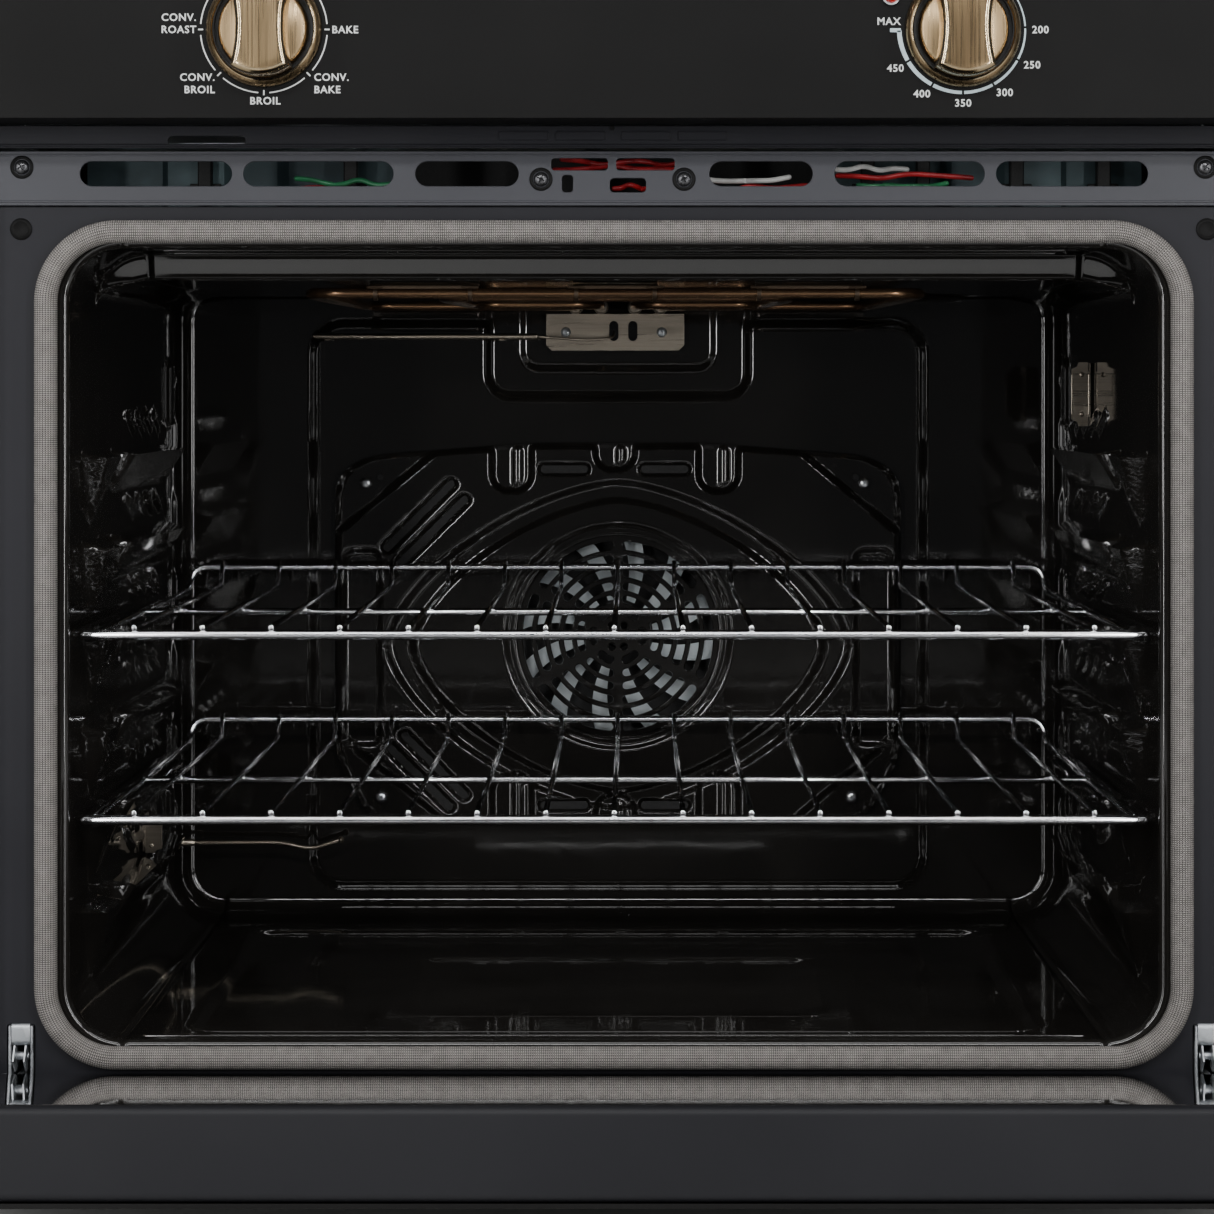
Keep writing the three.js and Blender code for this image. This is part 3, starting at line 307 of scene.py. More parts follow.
def ring_faces(rings, sides, closed=False):
    faces = []
    for i in range(rings if closed else rings - 1):
        near, far = i * sides, (i + 1) % rings * sides
        faces += [(near + j, near + (j + 1) % sides, far + (j + 1) % sides, far + j) for j in range(sides)]
    return faces


def turned(angle, radius=1.0, centre=(0, 0)):
    return (centre[0] + radius * math.cos(angle), centre[1] + radius * math.sin(angle))


def arc(centre, radius, start, end, steps):
    """Points of an arc; start and end are in degrees."""
    return [turned(math.radians(start + (end - start) * i / steps), radius, centre) for i in range(steps + 1)]


def rounded_rectangle(u, v, radius, steps=8):
    """An outline, counter-clockwise, over the spans u and v."""
    centres = [(u[1] - radius, v[0] + radius), (u[1] - radius, v[1] - radius),
               (u[0] + radius, v[1] - radius), (u[0] + radius, v[0] + radius)]
    points = []
    for i, centre in enumerate(centres):
        points += arc(centre, radius, -90 + 90 * i, 90 * i, steps)
    return points


def slot_outline(u, v, width, height, steps=10):
    radius = min(width, height) / 2 - 0.01
    return rounded_rectangle((u - width / 2, u + width / 2), (v - height / 2, v + height / 2), radius, steps)


def slanted_slot(start, end, width, steps=10):
    """A slot with round ends between two centre points."""
    heading = math.degrees(math.atan2(end[1] - start[1], end[0] - start[0]))
    return arc(end, width / 2, heading - 90, heading + 90, steps) + arc(
        start, width / 2, heading + 90, heading + 270, steps)


def stroke(points, thickness):
    """The outline of a bent strip of the given thickness, centred on a polyline."""
    points = [Vector(p) for p in points]
    left, right = [], []
    for i, point in enumerate(points):
        before = (point - points[i - 1]).normalized() if i else (points[1] - point).normalized()
        after = (points[i + 1] - point).normalized() if i + 1 < len(points) else before
        middle = (before + after).normalized()
        normal = Vector((-middle.y, middle.x)) / max(0.4, middle.dot(before))
        left.append(tuple(point + normal * thickness / 2))
        right.append(tuple(point - normal * thickness / 2))
    return left + right[::-1]


def bent(corners, radius, steps=8):
    """A polyline with each corner rounded."""
    points = [Vector(c) for c in corners]
    made = [points[0]]
    for before, here, after in zip(points, points[1:], points[2:]):
        start = here + (before - here).normalized() * min(radius, (before - here).length / 2)
        end = here + (after - here).normalized() * min(radius, (after - here).length / 2)
        for i in range(steps + 1):
            t = i / steps
            made.append(start * (1 - t) ** 2 + here * 2 * t * (1 - t) + end * t * t)
    return made + [points[-1]]


TUBE_ENDS = {"round": [(1.0, 0.1), (0.92, 0.4), (0.7, 0.72), (0.38, 0.93)], "cut": [(0.16, 0.82)]}


class Shape:
    """Points in millimetres and their faces, gathered into one mesh."""

    def __init__(self):
        self.points, self.faces = [], []

    def add(self, points, faces):
        start = len(self.points)
        self.points += [tuple(p) for p in points]
        self.faces += [tuple(start + i for i in face) for face in faces]
        return self

    def loft(self, rings):
        """A solid through rings of equally many points, closed flat at both ends."""
        sides, last = len(rings[0]), (len(rings) - 1) * len(rings[0])
        faces = ring_faces(len(rings), sides)
        faces += [tuple(range(sides))[::-1], tuple(last + i for i in range(sides))]
        return self.add([p for ring in rings for p in ring], faces)

    def extrude(self, outline, near, far, plane=frontal):
        return self.loft([[plane(u, v, w) for u, v in outline] for w in (near, far)])

    def block(self, lo, hi, edge=0.5):
        """A box with every edge chamfered."""
        (x0, y0, z0), (x1, y1, z1) = lo, hi
        rings = []
        for z, inset in ((z0, edge), (z0 + edge, 0), (z1 - edge, 0), (z1, edge)):
            a, b, c, d = x0 + inset, x1 - inset, y0 + inset, y1 - inset
            rings.append([(a + edge, c, z), (b - edge, c, z), (b, c + edge, z), (b, d - edge, z),
                          (b - edge, d, z), (a + edge, d, z), (a, d - edge, z), (a, c + edge, z)])
        return self.loft(rings)

    def tube(self, path, radius, sides=14, ends="cut"):
        """A round rod along a path. Its ends are cut with a small chamfer, or rounded."""
        path = [Vector(p) for p in path]
        ahead = [(b - a).normalized() for a, b in zip(path, path[1:])]
        tangents = [ahead[0]] + [(a + b).normalized() for a, b in zip(ahead, ahead[1:])] + [ahead[-1]]
        caps = TUBE_ENDS[ends]
        stations = [(path[0] - tangents[0] * radius * back, tangents[0], share) for back, share in caps]
        stations += [(point, tangent, 1.0) for point, tangent in zip(path, tangents)]
        stations += [(path[-1] + tangents[-1] * radius * back, tangents[-1], share) for back, share in caps[::-1]]
        side = tangents[0].orthogonal().normalized()
        rings = []
        for centre, tangent, share in stations:
            side = (side - tangent * side.dot(tangent)).normalized()
            up = tangent.cross(side)
            spread = [turned(2 * math.pi * j / sides, radius * share) for j in range(sides)]
            rings.append([centre + side * a + up * b for a, b in spread])
        return self.loft(rings)

    def lathe(self, profile, centre, axis=(0, -1, 0), steps=64, closed=False):
        """(radius, height) pairs turned about an axis through centre. closed joins the last pair to the first."""
        axis, centre = Vector(axis), Vector(centre)
        side = axis.orthogonal().normalized()
        up = axis.cross(side)
        rings = []
        for radius, height in profile:
            spread = [turned(2 * math.pi * j / steps, max(radius, 0.02)) for j in range(steps)]
            rings.append([centre + axis * height + side * a + up * b for a, b in spread])
        if not closed:
            return self.loft(rings)
        return self.add([p for ring in rings for p in ring], ring_faces(len(rings), steps, closed=True))

    def moved(self, other, matrix):
        """Adds another shape, moved by a matrix in millimetres."""
        return self.add([matrix @ Vector(p) for p in other.points], other.faces)

    def object(self, name, smooth=35, recalc=True):
        mesh = bpy.data.meshes.new(name)
        mesh.from_pydata([[c * MM for c in p] for p in self.points], [], self.faces)
        if recalc:
            solid = bmesh.new()
            solid.from_mesh(mesh)
            bmesh.ops.recalc_face_normals(solid, faces=solid.faces)
            solid.to_mesh(mesh)
            solid.free()
        return shaded(linked(name, mesh), smooth)


def linked(name, data):
    made = bpy.data.objects.new(name, data)
    bpy.context.scene.collection.objects.link(made)
    return made


def shaded(made, smooth):
    made.data.shade_smooth()
    made.data.set_sharp_from_angle(angle=math.radians(smooth))
    return made


def piece(made, finish, body="chassis", replaces=()):
    """Gives a new object its material, its body and the CAD nodes that it stands for."""
    made.data.materials.clear()
    made.data.materials.append(FINISH[finish])
    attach(made, body)
    if replaces:
        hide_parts(*replaces)
    return made


def soften(made, width, segments=2, angle=35):
    """Rounds the sharp edges of a piece or of a carried-over CAD node."""
    weld = made.modifiers.new("weld", "WELD")
    weld.merge_threshold = 0.00002
    edge = made.modifiers.new("edges", "BEVEL")
    edge.width, edge.segments = width * MM, segments
    edge.limit_method, edge.angle_limit = "ANGLE", math.radians(angle)
    edge.use_clamp_overlap = True
    return made


def plain_mesh(source):
    """The evaluated mesh of a temporary object, which is removed."""
    bpy.context.view_layer.update()
    graph = bpy.context.evaluated_depsgraph_get()
    mesh = bpy.data.meshes.new_from_object(source.evaluated_get(graph))
    bpy.data.objects.remove(source)
    return mesh


def plate(name, outline, holes, near, far, edge=0.3, smooth=35):
    """A flat sheet drawn from the front with holes through it, from depth near to depth far, edges rounded."""
    curve = bpy.data.curves.new(name, "CURVE")
    curve.dimensions, curve.fill_mode = "2D", "BOTH"
    curve.extrude = ((far - near) / 2 - edge) * MM
    curve.bevel_depth, curve.bevel_resolution, curve.offset = edge * MM, 1, -edge * MM
    for ring in [outline, *holes]:
        spline = curve.splines.new("POLY")
        spline.points.add(len(ring) - 1)
        spline.use_cyclic_u = True
        for point, (u, v) in zip(spline.points, ring):
            point.co = (u * MM, v * MM, 0, 1)
    mesh = plain_mesh(linked(name + "_outline", curve))
    mesh.transform(Matrix.Translation((0, (near + far) / 2 * MM, 0)) @ Matrix.Rotation(math.pi / 2, 4, "X"))
    mesh.name = name
    return shaded(linked(name, mesh), smooth)


# ---------- relief helpers, for pressed sheet ----------
def smooth_step(t):
    t = np.clip(t, 0, 1)
    return t * t * (3 - 2 * t)


def bead(distance, width):
    """A rounded rib of the given width, 1 on its crest."""
    return np.exp(-((2 * distance / width) ** 2))


def box_distance(u, v, u_span, v_span, radius):
    """Signed distance to a rounded rectangle, negative inside."""
    du = np.abs(u - sum(u_span) / 2) - (u_span[1] - u_span[0]) / 2 + radius
    dv = np.abs(v - sum(v_span) / 2) - (v_span[1] - v_span[0]) / 2 + radius
    return np.hypot(np.maximum(du, 0), np.maximum(dv, 0)) + np.minimum(np.maximum(du, dv), 0) - radius


def line_distance(u, v, start, end):
    a, b = np.array(start, float), np.array(end, float)
    t = np.clip(((u - a[0]) * (b - a)[0] + (v - a[1]) * (b - a)[1]) / ((b - a) @ (b - a)), 0, 1)
    return np.hypot(u - a[0] - t * (b - a)[0], v - a[1] - t * (b - a)[1])


def inside(distance, slope):
    """1 inside an outline and 0 outside, over a slope of the given width."""
    return smooth_step(0.5 - distance / slope)


def grid_faces(rows, columns, wrap=False):
    span = columns if wrap else columns - 1
    return [(i * columns + j, i * columns + (j + 1) % columns, (i + 1) * columns + (j + 1) % columns,
             (i + 1) * columns + j) for i in range(rows - 1) for j in range(span)]


def sheet_metal(made, thickness=SHEET):
    """Gives a pressed skin its thickness, away from its face."""
    solid = made.modifiers.new("sheet", "SOLIDIFY")
    solid.thickness, solid.offset = thickness * MM, -1
    return made


# ---------- cavity ----------
LEDGE_REACH = 16  # how far the rack supports stand out of the side walls
LIP = 3.8  # radius of the rolled front lip
MOUTH_STEP = 1.8  # how much narrower the mouth is than the walls behind it, on each side
FILLET = 24  # depth over which the walls turn into the back
FRAME_LINE = 11  # how far inwards the fillet ends
FLANGE_EDGE = high("cavity_flange").x - HALF


def rack_supports(z, d):
    """Pressed supports at each rack position: a tapering boss near the front and a long ledge behind it."""
    relief = np.zeros_like(z)
    for i in range(RACK_POSITIONS):
        seat = LOWEST_RACK + i * RACK_PITCH - 2.4
        drop = seat - z
        crest = smooth_step(drop / 2.2)
        taper = np.clip(1 - drop / 46, 0, 1)
        boss = crest * taper * smooth_step((29 * taper + 2 - np.abs(d - 85)) / 4.5)
        well = 0.35 * inside(box_distance(d, z, (81, 89), (seat - 27, seat - 17), 1.5), 3)
        ledge = crest * np.clip(1 - drop / 26, 0, 1) * smooth_step((d - 160) / 8) * smooth_step((400 - d) / 8)
        relief = np.maximum(relief, LEDGE_REACH * np.maximum(boss * (1 - well), ledge))
        for start in (225, 262, 299, 336):
            tick = line_distance(d, z, (start, seat + 21), (start + 24, seat + 12))
            relief = np.maximum(relief, 2.6 * smooth_step(1.3 - tick / 4.2))
    return relief


def side_wall_relief(z, d):
    relief = rack_supports(z, d)
    upright = smooth_step((z - FLOOR - 45) / 14) * smooth_step((CEILING - 62 - z) / 14)
    broken = 0.45 + 0.55 * smooth_step(np.abs(((z - LOWEST_RACK) / RACK_PITCH) % 1 - 0.5) * 5 - 0.6)
    relief = np.maximum(relief, 3.4 * bead(d - 431, 13) * upright * broken)
    for bottom, top in ((CEILING - 106, CEILING - 62), (FLOOR + 57, FLOOR + 96)):
        pad = box_distance(d, z, (396, 420), (bottom, top), 4)
        relief = np.maximum(relief, 3.2 * inside(pad, 6))
    rounding = smooth_step((z - CEILING + CORNER) / CORNER)
    return np.maximum(relief, PANEL_DROP * ceiling_step(d) * rounding)


def floor_relief(x, d):
    """Two stepped recesses and a fold behind the front edge."""
    wide = inside(box_distance(x, d, (-244, 244), (39, 392), 16), 7)
    narrow = inside(box_distance(x, d, (-124, 124), (96, 292), 12), 6)
    fold = bead(d - 20, 7) * smooth_step((272 - np.abs(x)) / 10)
    return -2.2 * wide - 1.7 * narrow + 1.1 * fold


CEILING_STEP = (102, 107.5)  # depths between which the ceiling drops to its pressed panel
PANEL_DROP = 16


def ceiling_step(d):
    """0 at the mouth and 1 behind the step where the ceiling drops."""
    start, end = CEILING_STEP
    return smooth_step((d - start) / (end - start))


def ceiling_relief(x, d):
    """Two folds behind the mouth, then a pressed panel that hangs lower, with a well round the lamp."""
    folds = sum(bead(d - at, 9) for at in (22, 64)) * smooth_step((262 - np.abs(x)) / 12)
    lamp = inside(np.hypot(x - LAMP.x, d - (LAMP.y - FRONT)) - 40, 6)
    return 1.7 * folds + PANEL_DROP * ceiling_step(d) * (1 - lamp)


def fold_lines():
    """The sharp pressed lines across the ceiling and behind the floor's front edge."""
    lines = Shape()
    for d, z in ((22, CEILING - 1.9), (64, CEILING - 1.9), (CEILING_STEP[1] + 0.6, CEILING - PANEL_DROP + 0.3)):
        lines.tube([(-258, FRONT + d, z), (258, FRONT + d, z)], 0.7, 12, "round")
    lines.tube([(-268, FRONT + 17, FLOOR + 1.0), (268, FRONT + 17, FLOOR + 1.0)], 0.7, 12, "round")
    for across, along, radius, z in (((-247, 247), (36, 395), 16, FLOOR - 0.1), ((-127, 127), (93, 295), 12, FLOOR - 2.3)):
        path = [(x, FRONT + d, z) for x, d in rounded_rectangle(across, along, radius)]
        lines.tube([*path, path[0]], 0.6, 10, "round")
    piece(lines.object("cavity_fold_lines"), "enamel")


def box_middle(node):
    return (low(node) + high(node)) / 2


LAMP = box_middle("lamp_lens")


def wall_sections():
    """(offset outwards from the wall line, depth) of the skin, from the flange edge to the back corner."""
    edge = MOUTH_STEP - LIP
    flange = [(-FLANGE_EDGE, 0.0), (edge - 1, 0.0)]
    lip = [(edge + LIP * math.sin(a), LIP - LIP * math.cos(a)) for a in np.radians(np.arange(0, 91, 11.25))]
    depths = np.concatenate([np.arange(6, CEILING_STEP[0], 2.6), np.linspace(*CEILING_STEP, 10)[:-1],
                             np.arange(CEILING_STEP[1], DEPTH - FILLET, 2.6)])
    straight = [(float(MOUTH_STEP * (1 - smooth_step((d - 4) / 12))), float(d)) for d in depths]
    turn = [(FRAME_LINE * (1 - math.cos(a)), DEPTH - FILLET + FILLET * math.sin(a))
            for a in np.radians(np.arange(0, 91, 9))]
    return flange + lip + straight + turn


def cavity_outline():
    """Stations round the cavity as (x, z, inward x, inward z), for each of its four pieces."""
    inner_x, low_z, high_z = HALF - CORNER, FLOOR + CORNER, CEILING - CORNER
    across = np.linspace(-inner_x, inner_x, 150)
    upright = np.arange(low_z, high_z + 0.1, (high_z - low_z) / 165)

    def corner(cx, cz, start):
        angles = np.radians(np.linspace(start, start + 90, 13))
        return [(cx + CORNER * math.cos(a), cz + CORNER * math.sin(a), -math.cos(a), -math.sin(a)) for a in angles]

    right = corner(inner_x, low_z, -90)[:-1] + [(HALF, z, -1, 0) for z in upright] + corner(inner_x, high_z, 0)[1:]
    left = [(-x, z, -nx, nz) for x, z, nx, nz in right]
    return {"floor": [(x, FLOOR, 0, 1) for x in across], "ceiling": [(x, CEILING, 0, -1) for x in across],
            "left_wall": left, "right_wall": right}


RELIEFS = {"floor": lambda x, z, d: floor_relief(x, d), "ceiling": lambda x, z, d: ceiling_relief(x, d),
           "left_wall": lambda x, z, d: side_wall_relief(z, d), "right_wall": lambda x, z, d: side_wall_relief(z, d)}


def cavity_skin(part, stations):
    sections = wall_sections()
    x, z, nx, nz = (np.array(column, float)[:, None] for column in zip(*stations))
    offset, d = (np.array(column, float)[None, :] for column in zip(*sections))
    offset, d = np.broadcast_arrays(offset, d)
    fade = smooth_step((d - LIP - 2) / 8) * smooth_step((DEPTH - FILLET - d) / 6)
    inwards = offset + RELIEFS[part](x + 0 * d, z + 0 * d, d + 0 * x) * fade
    grid = np.stack([x + nx * inwards, FRONT + d + 0 * x, z + nz * inwards], axis=-1)
    rows, columns = grid.shape[:2]
    faces = grid_faces(rows, columns)
    skin = Shape().add(grid.reshape(-1, 3), faces)
    i = (rows // 2) * columns + columns // 2
    a, b, c = (Vector(skin.points[j]) for j in (i, i + 1, i + columns))
    wanted = Vector((nx[rows // 2, 0], 0, nz[rows // 2, 0]))
    if (b - a).cross(c - a).dot(wanted) > 0:  # grid faces wind column first, so this cross points backwards
        skin.faces = [face[::-1] for face in skin.faces]
    made = skin.object(f"cavity_{part}_skin", 60, recalc=False)
    flip_towards(made, wanted, i)
    return sheet_metal(made)


def flip_towards(made, wanted, near_vertex):
    """Turns a skin's faces round if those at a vertex don't face the wanted way."""
    mesh = made.data
    face = next(f for f in mesh.polygons if near_vertex in f.vertices)
    if face.normal.dot(wanted) < 0:
        mesh.flip_normals()


BACK_PANEL = ((-216.5, 216.5), (FLOOR + 19, CEILING - 34))
CUP_RADIUS = 116.8


def back_relief(x, z):
    """The raised field of the back wall, with two stepped drops round the element's plate."""
    field = inside(box_distance(x, z, *BACK_PANEL, 22), 7)
    outer = inside(box_distance(x, z, (-92, 92), (451, CEILING + 60), 16), 8)
    inner = inside(box_distance(x, z, (-67.7, 67.7), (471, CEILING + 60), 12), 7)
    rim = bead(np.hypot(x, z - FAN_Z) - CUP_RADIUS - 7, 8)
    return 2.6 * field * (1 - outer) - 2.2 * outer - 2.2 * inner + 1.4 * rim


def cavity_back():
    xs = np.linspace(-HALF + 2, HALF - 2, 270)
    zs = np.linspace(FLOOR + 2, CEILING - 2, 200)
    x, z = np.meshgrid(xs, zs)
    away = np.hypot(x, z - FAN_Z)
    pull = np.where(np.abs(away - CUP_RADIUS) < 1.7, CUP_RADIUS / away, 1.0)  # snaps the grid to the round hole
    fade = inside(box_distance(x, z, (-HALF + 12, HALF - 12), (FLOOR + 12, CEILING - 12), 20), 6)
    points = np.stack([x * pull, BACK + 0.15 - back_relief(x, z) * fade, FAN_Z + (z - FAN_Z) * pull], axis=-1)
    rows, columns = x.shape
    keep = [face for face in grid_faces(rows, columns)
            if all(away.flat[i] > CUP_RADIUS - 1.7 for i in face)]
    wall = Shape().add(points.reshape(-1, 3), keep).object("cavity_back_wall", 60, recalc=False)
    wall.data.flip_normals() if wall.data.polygons[0].normal.y > 0 else None
    drop_loose(wall)
    piece(sheet_metal(wall), "enamel", replaces=["cavity_back"])
    cup_depth = high("cavity_back").y - BACK
    radii = [(CUP_RADIUS + 1, 0.4), (CUP_RADIUS - 0.4, -0.2), (CUP_RADIUS - 2.2, -3), (CUP_RADIUS - 4, -cup_depth + 6),
             (CUP_RADIUS - 8, -cup_depth + 2), (5.5, -cup_depth + 1.6), (5.5, -cup_depth), (CUP_RADIUS, -cup_depth + 0.4),
             (CUP_RADIUS + 1, -cup_depth + 4)]
    cup = Shape().lathe(radii, (0, BACK, FAN_Z), steps=96, closed=True).object("fan_cup")
    piece(cup, "enamel")


def drop_loose(made):
    mesh = bmesh.new()
    mesh.from_mesh(made.data)
    bmesh.ops.delete(mesh, geom=[v for v in mesh.verts if not v.link_faces], context="VERTS")
    mesh.to_mesh(made.data)
    mesh.free()


def cavity():
    outline = cavity_outline()
    for part, stations in outline.items():
        skin = cavity_skin(part, stations)
        replaced = [f"cavity_{part}"] + (["cavity_flange"] if part == "floor" else [])
        piece(skin, "enamel", replaces=replaced)
    cavity_back()
    fold_lines()


# ---------- fan, baffle and grille ----------
BAFFLE = {"half": high("fan_baffle").x, "bottom": low("fan_baffle").z, "top": high("fan_baffle").z,
          "front": low("fan_baffle").y}
BAFFLE_MIDDLE = (BAFFLE["bottom"] + BAFFLE["top"]) / 2
GRILLE = 71  # radius of the round opening that the grille fills
BAFFLE_SCREWS = ((-178, 390), (174, 390), (-167, 168), (165, 168))


def baffle_outline():
    """The pressed plate's edge: nearly a rectangle, arched along its top, with its lower corners cut."""
    half, bottom, top = BAFFLE["half"], BAFFLE["bottom"], BAFFLE["top"]
    corners = [(half, top - 24), (half - 22, top - 9), (60, top), (-60, top), (-half + 22, top - 9), (-half, top - 24),
               (-half, bottom + 46), (-half + 26, bottom), (half - 26, bottom), (half, bottom + 46)]
    start = (half, BAFFLE_MIDDLE)
    return bent([start, *corners, start], 16, 6)[:-1]


def ray_reach(outline, centre, angles):
    """Distance from centre to a closed outline along each angle."""
    ring = np.array([tuple(p) for p in outline]) - centre
    bearings = np.arctan2(ring[:, 1], ring[:, 0])
    order = np.argsort(bearings)
    near, far = ring[order], np.roll(ring[order], -1, axis=0)
    reach = []
    for angle in angles:
        k = (np.searchsorted(np.sort(bearings), angle) - 1) % len(order)
        way = np.array([math.cos(angle), math.sin(angle)])
        a, b = near[k], far[k] - near[k]
        reach.append((a[0] * b[1] - a[1] * b[0]) / (way[0] * b[1] - way[1] * b[0]))
    return np.array(reach)


BAFFLE_SLOTS = (
    ((-52, 399.5), (-24, 399.5)), ((19, 399.5), (47, 399.5)),
    ((-52, 162), (-24, 162)), ((19, 162), (47, 162)),
    ((-118, 389), (-163, 344)), ((-108.6, 378), (-153.5, 333.5)),
    ((-150.7, 211), (-108.6, 169)), ((-161.5, 203), (-119.4, 161)),
)
EYE = (154, 109)  # half width and half height of the ring-shaped channel
EYE_POWER = 1.55  # 1 would make it a diamond, 2 an ellipse


def baffle_relief(x, z):
    """Height towards the front of the baffle's pressed face."""
    level_set = (np.abs(x / EYE[0]) ** EYE_POWER + np.abs((z - BAFFLE_MIDDLE + 9) / EYE[1]) ** EYE_POWER) ** (1 / EYE_POWER)
    from_channel = (level_set - 1) * 112
    relief = 5.0 - 4.2 * inside(np.abs(from_channel) - 6.5, 5)
    corner = 0.639 * np.abs(x) + 0.771 * np.abs(z - BAFFLE_MIDDLE) - 181
    relief -= 3.6 * inside(-corner, 5)
    for side in (-1, 1):
        strip = box_distance(x * side, z, (168, 193), (205, 342), 6)
        relief -= 3.2 * inside(strip, 4)
    for centre, reach in ((-75, 34), (-2, 19), (71, 34)):
        for up in (-1, 1):
            edge = BAFFLE["top"] + 8 if up > 0 else BAFFLE["bottom"] - 8
            span = sorted((edge, edge - up * (reach + 8)))
            scoop = box_distance(x, z, (centre - 14, centre + 14), span, 12)
            relief -= 5.2 * inside(scoop, 5) - 1.8 * bead(x - centre - 4, 7) * inside(scoop + 4, 4)
    for start, end in BAFFLE_SLOTS:
        away = line_distance(x, z, start, end)
        relief -= 4.0 * smooth_step((5.2 - away) / 3.2)
    round_bead = np.hypot(x, z - FAN_Z)
    relief -= 2.0 * inside(round_bead - 79, 4)
    return relief


def fan_baffle():
    outline = baffle_outline()
    angles = np.linspace(-math.pi, math.pi, 680, endpoint=False) + 0.002
    reach = ray_reach(outline, np.array([0.0, FAN_Z]), angles)
    shares = np.linspace(0, 1, 70)
    radius = GRILLE + (reach[:, None] - GRILLE) * shares[None, :]
    x, z = radius * np.cos(angles)[:, None], FAN_Z + radius * np.sin(angles)[:, None]
    rim = smooth_step((reach[:, None] - radius) / 5)
    face = BAFFLE["front"] + 5.2 - baffle_relief(x, z) * rim
    skirt = [(1.0, 5.0), (1.004, 9.0), (1.004, BACK - BAFFLE["front"] - 0.4)]
    rings = [np.stack([x, face, z], axis=-1)]
    for share, back in skirt:
        edge = np.stack([reach * share * np.cos(angles), np.full_like(reach, BAFFLE["front"] + back + 1.2),
                         FAN_Z + reach * share * np.sin(angles)], axis=-1)
        rings.append(edge[:, None, :])
    grid = np.concatenate(rings, axis=1)
    rows, columns = grid.shape[:2]
    faces = grid_faces(rows, columns)
    faces += [((rows - 1) * columns + j, (rows - 1) * columns + j + 1, j + 1, j) for j in range(columns - 1)]
    skin = Shape().add(grid.reshape(-1, 3), faces).object("fan_baffle_plate", 60, recalc=False)
    flip_towards(skin, Vector((0, -1, 0)), columns * 5 + 3)
    piece(sheet_metal(skin), "enamel", replaces=["fan_baffle"])
    baffle_details()
    grille()
    fan_wheel()


def baffle_details():
    """Painted shade: deep-black plates set into the slots and a deep-black disc for the small hole beside each upper
    screw; then the round rims and the four screws.
    """
    face = BAFFLE["front"]
    dark = Shape()
    for start, end in BAFFLE_SLOTS:
        dark.extrude(slanted_slot(start, end, 5.4), face + 3.4, face + 4.6)
    for x in (-168, 168):
        dark.lathe([(0, -2.0), (2.2, -2.0), (2.2, -1.0), (0, -0.9)], (x, face, 394), steps=24)
    piece(dark.object("baffle_slot_insides"), "deep_black")
    rims = Shape()
    for radius, depth in ((73.5, 2.0), (76.5, 1.6), (81.5, 0.3)):
        rim = [(radius + u, v) for u, v in arc((0, 0), 0.65, 0, 315, 7)]
        rims.lathe(rim, (0, face + depth, FAN_Z), steps=120, closed=True)
    piece(rims.object("baffle_round_rims", 50), "enamel")
    screws = Shape()
    for x, z in BAFFLE_SCREWS:
        screws.moved(SCREW, placed((x, face + 1.0, z), 4.0, turn=x))
    piece(screws.object("baffle_screws"), "chrome")


GRILLE_SECTORS = 6
GRILLE_RINGS = ((17.5, 2.5), (26.5, 2.6), (35.5, 2.7), (45, 2.8), (54.5, 2.9), (64.2, 3.0))


def arc_slot(radius, half_width, start, end, steps=12):
    """A curved slot about the fan's centre, with round ends; angles in degrees."""
    inset = math.degrees(half_width / radius)
    start, end = start + inset, end - inset
    centre = (0, FAN_Z)
    outer = arc(centre, radius + half_width, start, end, steps)
    inner = arc(centre, radius - half_width, end, start, steps)
    finish_end = arc(turned(math.radians(end), radius, centre), half_width, end, end + 180, 6)[1:-1]
    finish_start = arc(turned(math.radians(start), radius, centre), half_width, start + 180, start + 360, 6)[1:-1]
    return outer + finish_end + inner + finish_start


def grille():
    holes = []
    for i in range(GRILLE_SECTORS):
        first = 30 + 60 * i
        for radius, half_width in GRILLE_RINGS:
            spoke = math.degrees(3.2 / radius)
            holes.append(arc_slot(radius, half_width, first + spoke, first + 60 - spoke))
        holes.append(arc(turned(math.radians(first + 30), 8.6, (0, FAN_Z)), 2.4, 0, 345, 14))
    face = BAFFLE["front"] + 2.2
    disc = plate("fan_grille", arc((0, FAN_Z), GRILLE + 1.5, 0, 357, 119), holes, face, face + 2.0, 0.8)
    piece(disc, "enamel")


def fan_wheel():
    """A pressed steel wheel: a hub, a dished disc and broad pitched blades. The hub and disc are deep black, as painted
    shade between the blades.
    """
    front = BACK + 3
    wheel = Shape().lathe([(0, 3), (8, 2.6), (9.5, 0), (10, -14), (24, -17), (66, -18.5), (72, -17), (72.5, -18.5),
                           (66, -20), (24, -18.4), (0, -18)], (0, front, FAN_Z), steps=72)
    wheel.tube([(0, front, FAN_Z), (0, front + 46, FAN_Z)], 3.5)
    blades = Shape()
    count = 12
    for i in range(count):
        spin = 2 * math.pi * i / count
        rings = []
        for radius in np.linspace(25, 71, 8):
            lean = 0.25 - 0.05 * (radius - 25) / 46
            a0, a1 = spin + 0.3 * (radius / 71) ** 2, spin + 0.3 * (radius / 71) ** 2 + lean
            rise = 3 + 9 * (radius - 25) / 46
            ring = [(a0, 0.0), (a1, rise), (a1, rise + 1), (a0, 1.0)]
            rings.append([(radius * math.cos(a), front + y, FAN_Z + radius * math.sin(a)) for a, y in ring])
        blades.loft(rings)
    # The disc and hub are deep black as painted shade behind the blades.
    piece(wheel.object("fan_disc"), "deep_black", "fan_wheel", ["fan_wheel"])
    piece(blades.object("fan_blades"), "fan_steel", "fan_wheel")


